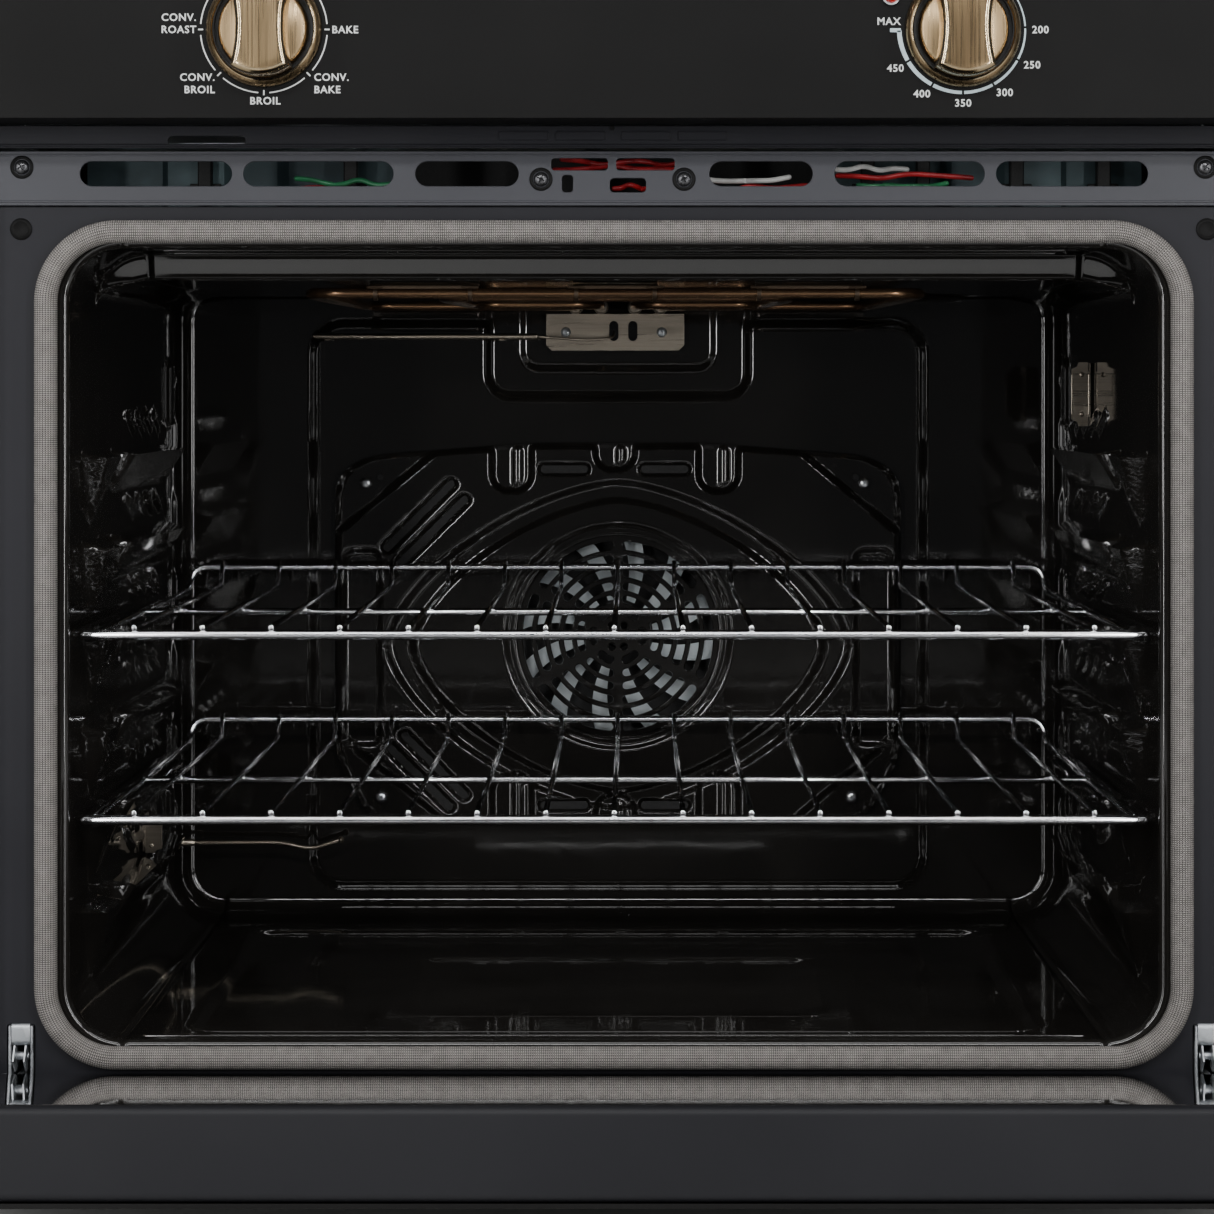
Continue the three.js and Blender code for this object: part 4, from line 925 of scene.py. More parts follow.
# ---------- racks ----------
def rack(node):
    lo, hi = low(node), high(node)
    rail, frame_rod, wire = 3.0, 2.4, 1.7
    z = lo.z + rail
    front, back = lo.y + rail, hi.y - frame_rod
    side, wire_z = HALF - 11, z + rail + wire
    frame_z, rise = wire_z - wire - frame_rod, 13
    cross = front + 192
    steel = Shape()
    steel.tube([(-HALF + 6, front, z), (HALF - 6, front, z)], rail, 20, "round")
    loop = [(-side, front + 4, frame_z), (-side, back - 7, frame_z), (-side + 3, back, wire_z + rise),
            (side - 3, back, wire_z + rise), (side, back - 7, frame_z), (side, front + 4, frame_z)]
    steel.tube(bent(loop, 11, 6), frame_rod, 16)
    steel.tube([(-side, cross, frame_z), (side, cross, frame_z)], frame_rod, 16)
    count, pitch = 15, 39.5
    for i in range(count):
        x = (i - (count - 1) / 2) * pitch
        run = [(x, front - rail + 0.2, wire_z - 0.3), (x, back - 11, wire_z - 0.3), (x, back - 3.2, wire_z + rise + 4.2)]
        steel.tube(bent(run, 6, 5), wire, 12)
        for y, height in ((cross, frame_z + frame_rod - 0.2), (front, z + rail - 0.2)):
            steel.lathe([(0, 0.6), (1.8, 0.4), (2.6, -0.4), (2.7, -1.2)], (x, y, height), (0, 0, 1), 14)
    piece(steel.object(node + "_rods", 50), "chrome", node, [node])


# ---------- heating elements and sensors ----------
BROIL_Z = (low("broil_element").z + high("broil_element").z) / 2


def broil():
    lo, hi = low("broil_element"), high("broil_element")
    radius = 3.6
    z, half = BROIL_Z, hi.x - radius
    front, rear = lo.y + radius, BACK - 34
    outer = [(-30, BACK - 4, z), (-30, rear, z), (-half + 14, rear, z), (-half, front, z), (half, front, z),
             (half - 14, rear, z), (30, rear, z), (30, BACK - 4, z)]
    inner = [(-12, BACK - 4, z), (-12, BACK - 72, z), (-100, BACK - 72, z), (-112, front + 70, z), (112, front + 70, z),
             (100, BACK - 72, z), (12, BACK - 72, z), (12, BACK - 4, z)]
    sheath = Shape()
    for loop in (outer, inner):
        sheath.tube(bent(loop, 24, 8), radius - 0.25, 16)
    piece(sheath.object("broil_loops", 50), "element_sheath", replaces=["broil_element"])
    sleeves = Shape()
    for x in (-30, -12, 12, 30):
        sleeves.lathe([(3.8, 0), (5.2, 0.8), (5.2, 9), (3.8, 10)], (x, BACK - 2, z), (0, -1, 0), 24)
    piece(sleeves.object("broil_sleeves"), "stainless")
    hangers = Shape()
    top = CEILING - PANEL_DROP
    for near, far in ((-150, -84), (-26, 26), (86, 151)):
        tray = [(front - 4.5, z + 2.6), (front - 4.5, top - 1.2), (front + 16, top - 0.9)]
        hangers.extrude(stroke(bent(tray, 1.5, 4), 0.9), near, far, sideways)
    for x in (-147, -89, -24, 24, 88, 148):
        hook = arc((front, z), radius + 0.6, 40, 400, 20)
        hangers.extrude(stroke(hook, 0.8), x - 1.3, x + 1.3, sideways)
        hangers.tube([(x - 4.5, front - 4.8, z + 3.6), (x + 4.5, front - 4.8, z + 3.6)], 0.9, 10, "round")
    piece(hangers.object("broil_hangers"), "heat_stained", replaces=["broil_hanger"])
    flange = low("broil_flange"), high("broil_flange")
    left, right, bottom, crown = flange[0].x, flange[1].x, flange[0].z, flange[1].z
    outline = [(left, crown), (left, bottom + 4), (left + 4, bottom), (right - 4, bottom), (right, bottom + 4),
               (right, crown)]
    holes = [slot_outline(-3, 497.5, 6.4, 14), slot_outline(10.5, 497.5, 6.4, 14)]
    y = flange[0].y - 0.4
    sheet = plate("broil_flange_plate", outline, holes, y, y + 1.6, 0.35)
    piece(sheet, "stainless", replaces=["broil_flange"])
    fixings = Shape()
    for x in (-37, 31):
        fixings.moved(SCREW, placed((x, y, 496.5), 3.6))
    piece(fixings.object("broil_flange_screws"), "zinc")


def placed(at, radius, turn=0.35, facing=(0, -1, 0)):
    """Where the unit screw goes: its head's rim at a point, facing outwards, turned about its own axis."""
    aim = Vector(facing).to_track_quat("Z", "Y").to_matrix().to_4x4()
    return Matrix.Translation(at) @ aim @ Matrix.Rotation(turn, 4, "Z") @ Matrix.Scale(radius, 4)


def unit_screw():
    """A pan-head screw of radius 1 facing +Z, with a cross recess cut into it."""
    head = Shape().lathe([(0.55, -1.2), (0.55, -0.05), (1, 0), (1, 0.12), (0.92, 0.32), (0.7, 0.5), (0.35, 0.6), (0, 0.62)],
                         (0, 0, 0), (0, 0, 1), 40)
    cutter = Shape()
    for turn in (0, math.pi / 2):
        for_one = Shape().loft([[(-0.3, -0.05, 0.2), (0.3, -0.05, 0.2), (0.3, 0.05, 0.2), (-0.3, 0.05, 0.2)],
                                [(-0.62, -0.11, 0.8), (0.62, -0.11, 0.8), (0.62, 0.11, 0.8), (-0.62, 0.11, 0.8)]])
        cutter.moved(for_one, Matrix.Rotation(turn, 4, "Z"))
    body, tool = head.object("screw_head"), cutter.object("screw_recess")
    cut = body.modifiers.new("recess", "BOOLEAN")
    cut.operation, cut.solver, cut.object = "DIFFERENCE", "EXACT", tool
    cut.use_self = True
    mesh = plain_mesh(body)
    bpy.data.objects.remove(tool)
    made = Shape().add([v.co / MM for v in mesh.vertices], [tuple(f.vertices) for f in mesh.polygons])
    bpy.data.meshes.remove(mesh)
    return made


SCREW = unit_screw()


def sensors():
    bulb = Shape().tube([(-214, BACK - 14, 493.4), (-58, BACK - 14, 493.4)], 2.2, 14, "round")
    capillary = [(-60, BACK - 14, 493.4), (-38, BACK - 15, 492), (-22, BACK - 12, 490.5), (-3, BACK - 10, 492.5),
                 (-3, BACK - 2, 497)]
    bulb.tube(bent(capillary, 10, 6), 0.95, 10)
    piece(bulb.object("thermostat_rod", 50), "stainless", replaces=["thermostat_bulb"])
    clips = Shape()
    for x in (-205, -82):
        clips.block((x - 2, BACK - 16.4, 490.4), (x + 2, BACK - 2.4, 491.4), 0.2)
    piece(clips.object("thermostat_clips"), "stainless")
    rod = [(-HALF + 0.8, BACK - 22, 137), (-236, BACK - 22, 137), (-216, BACK - 22, 132), (-195, BACK - 22, 139)]
    probe = Shape().tube(bent(rod, 9, 6), 1.6, 12, "round")
    probe.lathe([(4.6, 0), (4.6, 1.6), (2.6, 2.4), (2.4, 12), (1.6, 13)], (-HALF + 0.6, BACK - 22, 137), (1, 0, 0), 24)
    probe.lathe([(0, -2.4), (1.8, -1.6), (2.6, 0), (1.8, 1.6), (0, 2.4)], (-195, BACK - 22, 139), (1, 0, 0), 20)
    piece(probe.object("temperature_probe_rod", 50), "stainless", replaces=["temperature_probe"])
    wall_clip("wall_clip_upper")
    wall_clip("wall_clip_lower")


def wall_clip(node):
    """A small sprung clip: a strip against the wall and a waisted tongue that faces the door."""
    lo, hi = low(node), high(node)
    side = 1 if lo.x > 0 else -1
    wall, tip = (hi.x, lo.x) if side > 0 else (lo.x, hi.x)
    wall -= side * 0.8
    middle, reach, height = (wall + tip) / 2, abs(wall - tip) / 2, (hi.z - lo.z) / 2
    z = (lo.z + hi.z) / 2
    made = Shape()
    made.block((min(wall, wall - side), lo.y, lo.z + 1), (max(wall, wall - side), hi.y, hi.z - 1), 0.3)
    half = [(reach * u, height * v) for u, v in ((1, 0.62), (0.72, 0.7), (0.72, 0.97), (-0.2, 0.97), (-0.34, 0.84),
                                                 (-0.9, 0.76), (-0.9, 0.3))]
    outline = [(middle + side * u, z + v) for u, v in half] + [(middle + side * u, z - v) for u, v in half[::-1]]
    made.extrude(outline, lo.y + 0.1, lo.y + 1.1)
    for edge in (-0.86, 0.8):
        x = middle + side * reach * edge
        made.tube([(x, lo.y + 0.1, z - height * 0.6), (x, lo.y + 0.1, z + height * 0.6)], 0.6, 10, "round")
    for v in (-0.6, 0.6):
        made.moved(SCREW, placed((middle + side * reach * 0.1, lo.y, z + height * v), 1.6))
    piece(made.object(node + "_strip"), "stainless", replaces=[node])


def lamp():
    at = Vector((LAMP.x, LAMP.y, CEILING))
    radius = high("lamp_lens").x - LAMP.x
    ring = Shape().lathe([(radius, 0.5), (radius + 3.5, 0.5), (radius + 3.5, 2), (radius + 2, 3.4), (radius - 1.5, 3),
                          (radius - 2, 1)], at, (0, 0, -1), 72, closed=True)
    piece(ring.object("lamp_ring"), "stainless")
    dome = [(radius - 2.2, 0.6)] + [(math.cos(a) * (radius - 2.2), 2 + 7 * math.sin(a)) for a in np.radians(range(0, 90, 10))]
    lens = Shape().lathe(dome + [(0, 9)], at, (0, 0, -1), 72)
    piece(lens.object("lamp_glass"), "clear_glass", replaces=["lamp_lens"])


# ---------- door seal ----------
def door_gasket():
    """A knitted tube round the opening, with raised wales; its UV map runs metres along and turns round."""
    lo, hi = low("door_gasket"), high("door_gasket")
    across, proud = 13.0, 11.4
    middle = (lo.x + across / 2, hi.x - across / 2), (lo.z + across / 2, hi.z - across / 2)
    path = []
    corners = rounded_rectangle(*middle, 40, 24)
    for (u0, v0), (u1, v1) in zip(corners, corners[1:] + corners[:1]):
        count = max(1, round(math.hypot(u1 - u0, v1 - v0) / 4))
        path += [(u0 + (u1 - u0) * i / count, v0 + (v1 - v0) * i / count) for i in range(count)]
    path = np.array(path)
    ahead = np.roll(path, -1, axis=0) - np.roll(path, 1, axis=0)
    ahead /= np.linalg.norm(ahead, axis=1)[:, None]
    travelled = np.concatenate([[0], np.cumsum(np.linalg.norm(np.roll(path, -1, axis=0) - path, axis=1))])
    sides = KNIT_COLUMNS * 4
    turn = np.arange(sides) / sides
    ribs = 1 + 0.035 * np.abs(np.cos(math.pi * KNIT_COLUMNS * turn)) - 0.02
    a, b = np.cos(2 * math.pi * turn) * across / 2 * ribs, np.sin(2 * math.pi * turn) * proud / 2 * ribs
    b = np.minimum(b, proud / 2 - 0.1)
    a = np.clip(a, -across / 2, across / 2)
    x = path[:, 0, None] + ahead[:, 1, None] * a
    z = path[:, 1, None] - ahead[:, 0, None] * a
    y = np.broadcast_to(FRONT - 0.3 - proud / 2 + b, x.shape)
    points = np.stack([x, y, z], axis=-1).reshape(-1, 3)
    tube = Shape().add(points, ring_faces(len(path), sides, closed=True)).object("gasket_tube", 80)
    uv = tube.data.uv_layers.new(name="knit")
    loops = np.empty(len(tube.data.loops), dtype=np.int64)
    tube.data.loops.foreach_get("vertex_index", loops)
    station, around = loops // sides, loops % sides
    first = loops.reshape(-1, 4)
    wrap_station = (first // sides == 0).any(1) & (first // sides == len(path) - 1).any(1)
    wrap_side = (first % sides == 0).any(1) & (first % sides == sides - 1).any(1)
    station = np.where(np.repeat(wrap_station, 4) & (station == 0), len(path), station)
    around = np.where(np.repeat(wrap_side, 4) & (around == 0), sides, around)
    total = round(travelled[-1] * MM / KNIT_STITCH) * KNIT_STITCH
    along = travelled[station] / travelled[-1] * total
    uv.data.foreach_set("uv", np.stack([along, around / sides], axis=-1).astype(np.float32).ravel())
    piece(tube, "glass_fibre", replaces=["door_gasket"])


# ---------- front face ----------
def front_frame():
    lo, hi = low("front_frame"), high("front_frame")
    inner = low("door_gasket").x + 6
    opening = rounded_rectangle((inner - 0.4, -inner + 0.4), (low("cavity_flange").z - 0.4, high("cavity_flange").z + 0.4),
                                40, 16)
    slot_low, slot_high = low("hinge_receiver_right").z - 0.5, high("hinge_receiver_right").z + 0.5
    holes = [opening]
    for side in (-1, 1):
        x = side * HINGE_X
        holes.append(rounded_rectangle((x - 7.9, x + 7.9), (slot_low, slot_high), 2))
    outline = rounded_rectangle((lo.x, hi.x), (lo.z, hi.z), 1.5)
    sheet = plate("front_frame_sheet", outline, holes, FRONT, FRONT + SHEET, 0.4)
    piece(sheet, "charcoal_paint", replaces=["front_frame"])
    plugs = Shape()
    for side in (-1, 1):
        plugs.lathe([(6.2, -0.1), (6.2, 0.5), (5.6, 1.0), (4.4, 1.2), (3.9, 0.9), (0, 0.8)], (side * HINGE_X, FRONT, 546),
                    steps=40)
    piece(plugs.object("bumper_plugs"), "black_paint")
    band = Shape()
    near = MOUTH_STEP - LIP - 0.2
    ring = [(-FLANGE_EDGE + 0.2, 0.15), (near, 0.15), (near, -0.5), (-FLANGE_EDGE + 0.2, -0.5)]
    rings = []
    for x, z, nx, nz in closed_outline(16):
        rings.append([(x + nx * u, FRONT - w, z + nz * u) for u, w in ring])
    band.add([p for r in rings for p in r], ring_faces(len(rings), 4, closed=True))
    piece(band.object("seal_land"), "enamel")


def closed_outline(steps):
    """Stations (x, z, inward x, inward z) round the cavity's mouth."""
    stations = []
    for i, (cx, cz) in enumerate([(1, -1), (1, 1), (-1, 1), (-1, -1)]):
        centre = (cx * (HALF - CORNER), (FLOOR + CORNER) if cz < 0 else (CEILING - CORNER))
        for a in np.radians(np.linspace(-90 + 90 * i, 90 * i, steps + 1)):
            stations.append((centre[0] + CORNER * math.cos(a), centre[1] + CORNER * math.sin(a),
                             -math.cos(a), -math.sin(a)))
    return stations


STRIP_SLOTS = ((259.2, 577.2, 86, 14), (167.3, 577.2, 85, 14), (83.2, 577.2, 58.5, 14))
STRIP_SMALL_SLOTS = ((-19.5, 582.6, 32, 6.8), (17.8, 582.6, 33, 6.8), (-26.3, 571.6, 6.2, 9.6), (7.9, 570.7, 20.4, 7.9))
STRIP_SCREWS = ((-335, 580.9), (334.5, 580.9), (-41.3, 574.1), (39.6, 574.1))


def ventilation():
    lo, hi = low("vent_strip"), high("vent_strip")
    outline = rounded_rectangle((lo.x, hi.x), (lo.z, hi.z), 1.2)
    holes = [slot_outline(side * x, z, w, h) for x, z, w, h in STRIP_SLOTS for side in (-1, 1)]
    holes += [rounded_rectangle((x - w / 2, x + w / 2), (z - h / 2, z + h / 2), min(w, h) * 0.3)
              for x, z, w, h in STRIP_SMALL_SLOTS]
    face = plate("vent_strip_face", outline, holes, lo.y, lo.y + SHEET, 0.45)
    # The strip's lighter charcoal is painted light.
    piece(face, "strip_charcoal", replaces=["vent_strip"])
    returns = Shape()
    for z, step in ((hi.z - 0.7, -1), (lo.z + 0.7, 1)):
        fold = [(lo.y + 0.6, z), (lo.y + 2.6, z), (lo.y + 2.6, z + step * 0.1)]
        returns.extrude(stroke(fold[:2], 1.0), lo.x + 1, hi.x - 1, sideways)
    for z in (hi.z - 2.2, lo.z + 2.2):
        returns.tube([(lo.x + 2, lo.y + 0.35, z), (hi.x - 2, lo.y + 0.35, z)], 0.8, 12, "round")
    piece(returns.object("vent_strip_folds"), "strip_charcoal")
    cups, screws = Shape(), Shape()
    for x, z in STRIP_SCREWS:
        screws.moved(SCREW, placed((x, lo.y - 0.3, z), 4.2, turn=x * 0.05))
        cups.lathe([(4.6, 0), (6.4, -0.1), (6.6, 0.35), (5.8, 0.8), (4.8, 0.5)], (x, lo.y, z), steps=40, closed=True)
    piece(screws.object("vent_strip_screws"), "dark_steel")
    # The cups are black as painted shade of the dimple round each screw.
    piece(cups.object("vent_strip_screw_cups"), "black_paint")
    duct_lip()
    behind_the_slots(lo)


def duct_lip():
    lo, hi = low("duct_lip"), high("duct_lip")
    sheet = plate("duct_lip_sheet", rounded_rectangle((lo.x, hi.x), (lo.z, hi.z), 0.8),
                  [slot_outline(-229.6, 595.5, 43.7, 5)], lo.y, hi.y, 0.4)
    piece(sheet, "charcoal_paint", replaces=["duct_lip"])
    pressings = Shape()
    for x in (-51, -19, 18, 50):
        rim = rounded_rectangle((x - 14, x + 14), (595.6, 600.6), 1.2, 4)
        path = [(u, lo.y - 0.02, v) for u, v in rim]
        pressings.tube([*path, path[0]], 0.42, 8, "round")
    pressings.tube([(lo.x + 2, lo.y - 0.1, lo.z + 1.6), (hi.x - 2, lo.y - 0.1, lo.z + 1.6)], 0.9, 10, "round")
    piece(pressings.object("duct_lip_pressings"), "charcoal_paint")


def behind_the_slots(strip):
    """What shows through the ventilation slots: folded duct parts, terminals and insulated wires, with deep-black
    blocks and a deep-black backing sheet as painted shadow and shade.
    """
    duct = Shape()
    y = FRONT + 44
    for side in (-1, 1):
        fold = [(side * 306, 2), (side * 262, 2), (side * 258, -5), (side * 226, -5), (side * 222, 2), (side * 196, 2),
                (side * 190, 9), (side * 128, 9), (side * 122, 22)]
        duct.extrude(stroke([(u, y + v) for u, v in fold], 1.0), 561, 590, level)
    piece(duct.object("duct_partition"), "steel_blue")
    # Deep-black blocks standing in the duct: painted shadow between its parts.
    shadow = Shape()
    for x in (-236, -152, 146, 178, 232, 282):
        shadow.block((x - 4, y - 14, 561.5), (x + 4, y - 6, 590), 0.8)
        shadow.block((x - 9, y - 10, 566), (x + 9, y - 8, 574), 0.5)
    piece(shadow.object("duct_ribs"), "deep_black")
    # A deep-black sheet behind the duct: painted shade.
    backing = Shape().block((-330, y + 26, 560.8), (330, y + 27.2, 592), 0.3)
    piece(backing.object("duct_shroud"), "deep_black")
    studs = Shape()
    for x in (-283, -248, -146, 150, 243, 290):
        studs.lathe([(0, -2), (3.4, -2), (3.4, 0), (1.9, 0.4), (1.9, 7), (0, 7.4)], (x, y - 12, 569), steps=6)
    piece(studs.object("duct_studs"), "stainless")
    draw = random.Random(4)
    for name, finish, runs in (("red_wires", "red_wire", ((-34, 36, 582.5), (-30, 40, 585), (58, 122, 571), (128, 205, 578),
                                                          (0, 24, 571.5), (-196, -150, 569))),
                               ("green_wires", "green_wire", ((-182, -128, 574), (140, 190, 573))),
                               ("white_wires", "white_wire", ((44, 100, 575), (118, 168, 582)))):
        wires = Shape()
        for start, end, z in runs:
            points = []
            for i in range(7):
                x = start + (end - start) * i / 6
                points.append((x, y - 24 + draw.uniform(-4, 4), z + draw.uniform(-2.2, 2.2)))
            wires.tube(bent(points, 8, 5), 1.5, 10, "round")
        piece(wires.object(name), finish)


def fascia():
    soften(frame["nodes"]["control_fascia"], 1.2, 3)
    dot = Shape().lathe([(0, 0), (1.4, 0.1), (1.2, 0.7), (0, 0.9)], (-1, low("duct_lip").y, high("duct_lip").z - 1.2), steps=20)
    piece(dot.object("lip_rivet"), "black_paint")
    pilot()
    for name, x in KNOB_X.items():
        bezel(name, x)
        knob(name, x)
    function_print(KNOB_X["function"])
    temperature_print(KNOB_X["temperature"])


def pilot():
    at = ((low("pilot_lens").x + high("pilot_lens").x) / 2, FASCIA_FACE, (low("pilot_lens").z + high("pilot_lens").z) / 2)
    ring = Shape().lathe([(3.3, 0), (5.6, 0), (5.6, 0.7), (5.0, 1.7), (4.1, 2.0), (3.4, 1.4)], at, steps=56, closed=True)
    piece(ring.object("pilot_ring"), "chrome")
    lens = [(0, -18), (3.2, -18), (3.4, 0.5)] + [(3.4 * math.cos(a), 1.0 + 2.2 * math.sin(a)) for a in np.radians(range(0, 90, 9))]
    piece(Shape().lathe(lens + [(0, 3.2)], at, steps=48).object("pilot_jewel"), "red_lens", replaces=["pilot_lens"])


def bezel(name, x):
    """A flared bronze ring with a groove inside it, filled by a deep-black ring as painted shade."""
    at = (x, FASCIA_FACE, KNOB_Z)
    flare = [(25.2, 0.2), (31.3, 0.2), (31.9, 1.0), (31.6, 2.4), (30.6, 4.6), (29.4, 5.9), (28.4, 6.4), (27.9, 6.1),
             (27.6, 5.0), (27.2, 1.4), (25.2, 1.2)]
    ring = Shape().lathe(flare, at, steps=128, closed=True).object(name + "_bezel_ring", 50)
    piece(ring, "antique_bronze", replaces=[name + "_bezel"])
    # The groove is deep black as painted shade.
    groove = [(25.05, 1.0), (27.7, 1.0), (27.7, 5.2), (27.1, 5.2), (27.0, 2.2), (25.05, 2.0)]
    shadow = Shape().lathe(groove, at, steps=96, closed=True).object(name + "_bezel_groove", 50)
    piece(shadow, "deep_black")
    edge = [(27.75, 5.9), (28.3, 6.9), (28.9, 6.5), (28.6, 5.8)]
    piece(Shape().lathe(edge, at, steps=128, closed=True).object(name + "_bezel_edge", 50), "bronze_edge")


GRIP_END = 24.0
GRIP_WAIST = 9.8
GRIP_FLARE = 2.9
GRIP_HEIGHT = 25.2
# (height, how much wider than the face, half length) from the foot of the grip to its rounded long edges
GRIP_LAYERS = ((6.6, 4.0, 24.4), (GRIP_HEIGHT - 3.0, 3.2, 24.2), (GRIP_HEIGHT - 1.9, 2.9, 24.0),
               (GRIP_HEIGHT - 1.1, 2.2, 23.7), (GRIP_HEIGHT - 0.5, 1.2, 23.3), (GRIP_HEIGHT - 0.1, 0.0, 22.9))


def grip_outline(spread, reach):
    """The grip from the front: waisted sides that end on a circle. spread widens it at its foot."""
    side = []
    for t in np.linspace(-1, 1, 33):
        v = t * reach * 0.9
        side.append((GRIP_WAIST + spread + GRIP_FLARE * (v / 22) ** 2, v))
    top_angle = math.degrees(math.atan2(side[-1][1], side[-1][0]))
    radius = math.hypot(*side[-1])
    cap = arc((0, 0), radius, top_angle, 180 - top_angle, 16)[1:-1]
    right = side + cap
    left = [(-u, -v) for u, v in right]
    return right + left


def knob(name, x):
    """A bronze disc with a waisted grip across it, its long edges chamfered and in a lighter, glossier bronze."""
    at = Vector((x, FASCIA_FACE - 0.5, KNOB_Z))
    disc = [(0, 0), (24.4, 0), (24.9, 0.6), (24.9, 3.2), (24.5, 5.0), (23.6, 6.4), (22.6, 7.0), (0, 7.6)]
    body = Shape().lathe(disc, at, steps=128)
    body.tube([at, at + Vector((0, 22, 0))], 2.9, 20)
    piece(body.object(name + "_knob_disc", 50), "antique_bronze", name + "_knob", [name + "_knob"])
    rings = []
    for rise, spread, reach in GRIP_LAYERS:
        rings.append([at + Vector((u, -rise, v)) for u, v in grip_outline(spread, reach)])
    grip = Shape().loft(rings)
    piece(grip.object(name + "_knob_sides", 30), "bronze_edge", name + "_knob")
    rings = []
    for lift, shrink in ((-0.3, 0.985), (0.05, 0.985), (0.2, 0.965)):
        outline = grip_outline(0, GRIP_LAYERS[-1][2])
        rings.append([at + Vector((u * shrink, -GRIP_HEIGHT - lift, v * shrink)) for u, v in outline])
    cap = Shape().loft(rings)
    piece(cap.object(name + "_knob_face", 30), "antique_bronze", name + "_knob")


def lettering(words, finish, name):
    """Printed words as (text, left|centre|right, x, z, cap height), raised a hair off the fascia."""
    ink = Shape()
    sample = text_mesh("H", 1.0)
    cap = max(v.co.y for v in sample.vertices)
    bpy.data.meshes.remove(sample)
    for text, align, x, z, height in words:
        mesh = text_mesh(text, height * MM / cap, align)
        points = [(x + v.co.x / MM, FASCIA_FACE - 0.06 - v.co.z / MM, z - height / 2 + v.co.y / MM) for v in mesh.vertices]
        ink.add(points, [tuple(face.vertices) for face in mesh.polygons])
        bpy.data.meshes.remove(mesh)
    piece(ink.object(name), finish)


def text_mesh(text, size, align="left"):
    curve = bpy.data.curves.new("lettering", "FONT")
    curve.body, curve.size = text, size
    curve.align_x = {"left": "LEFT", "centre": "CENTER", "right": "RIGHT"}[align]
    curve.extrude, curve.resolution_u = 0.00005, 3
    curve.space_character = 1.12
    curve.offset = size * 0.018
    return plain_mesh(linked("lettering", curve))


CAP = 4.0  # cap height of the printed words


def function_print(x):
    """The mode names round the left knob, on a thin broken ring with a tick at each."""
    words = [("BAKE", "left", 37.4, 0), ("CONV.", "left", 27.6, -26.2), ("BAKE", "left", 27.6, -33.0),
             ("BROIL", "centre", 0.7, -39.2), ("CONV.", "right", -27.0, -26.2), ("BROIL", "right", -27.0, -33.0),
             ("CONV.", "right", -37.2, 6.8), ("ROAST", "right", -37.2, 0.1), ("OFF", "centre", 0, 39.6)]
    lettering([(text, align, x + u, KNOB_Z + v, CAP) for text, align, u, v in words], "print", "function_names")
    marks = Shape()
    for middle in (0, 315, 270, 225, 180, 90):
        for start, end in ((middle + 5, middle + 40),):
            if middle in (90, 0):
                end = middle + 85
            band = arc((x, KNOB_Z), 34.9, start, end, 20)
            marks.extrude(stroke(band, 0.7), FASCIA_FACE - 0.1, FASCIA_FACE + 0.02)
        inner, outer = turned(math.radians(middle), 33.4, (x, KNOB_Z)), turned(math.radians(middle), 36.2, (x, KNOB_Z))
        marks.extrude(stroke([inner, outer], 0.8), FASCIA_FACE - 0.1, FASCIA_FACE + 0.02)
    piece(marks.object("function_ring"), "print")


def temperature_print(x):
    """Temperatures round the right knob, with an arc that widens as they rise and a hook at the top one."""
    words = [("200", "left", 38.0, 0), ("250", "left", 33.4, -19.4), ("300", "left", 18.3, -34.6), ("350", "centre", 0, -40.4),
             ("400", "right", -18.0, -35.3), ("450", "right", -32.6, -21.2), ("MAX", "right", -34.4, 4.6),
             ("OFF", "centre", 0, 39.6)]
    lettering([(text, align, x + u, KNOB_Z + v, CAP) for text, align, u, v in words], "print", "temperature_names")
    scale = Shape()
    stops = [56, 2, -29, -61, -90, -119, -150, -180]
    for start, end in zip(stops, stops[1:]):
        share = [(56 - a) / 236 for a in np.linspace(start - 1, end + 1, 16)]
        angles = [56 - 236 * s for s in share]
        inner = [turned(math.radians(a), 33.8, (x, KNOB_Z)) for a in angles]
        outer = [turned(math.radians(a), 34.2 + 2.2 * s, (x, KNOB_Z)) for a, s in zip(angles, share)]
        scale.extrude(inner + outer[::-1], FASCIA_FACE - 0.1, FASCIA_FACE + 0.02)
    hook = [(x - 40.2, KNOB_Z - 0.4), (x - 34.2, KNOB_Z - 0.4)]
    scale.extrude(stroke(hook, 2.1), FASCIA_FACE - 0.1, FASCIA_FACE + 0.02)
    piece(scale.object("temperature_scale"), "scale_print")


def mounting_trims():
    for name, side in (("left", -1), ("right", 1)):
        soften(frame["nodes"][f"{name}_mounting_trim"], 1.0, 3)
        holes = Shape()
        for z in (70, 300, 530):
            holes.lathe([(2.7, -0.5), (4.4, -0.1), (4.6, 0.4), (4.0, 0.7), (2.7, 0.2)],
                        (side * 367, low(f"{name}_mounting_trim").y, z), steps=36, closed=True)
        piece(holes.object(f"{name}_trim_eyelets"), "charcoal_paint")
    soften(frame["nodes"]["bottom_vent_trim"], 0.8, 3)


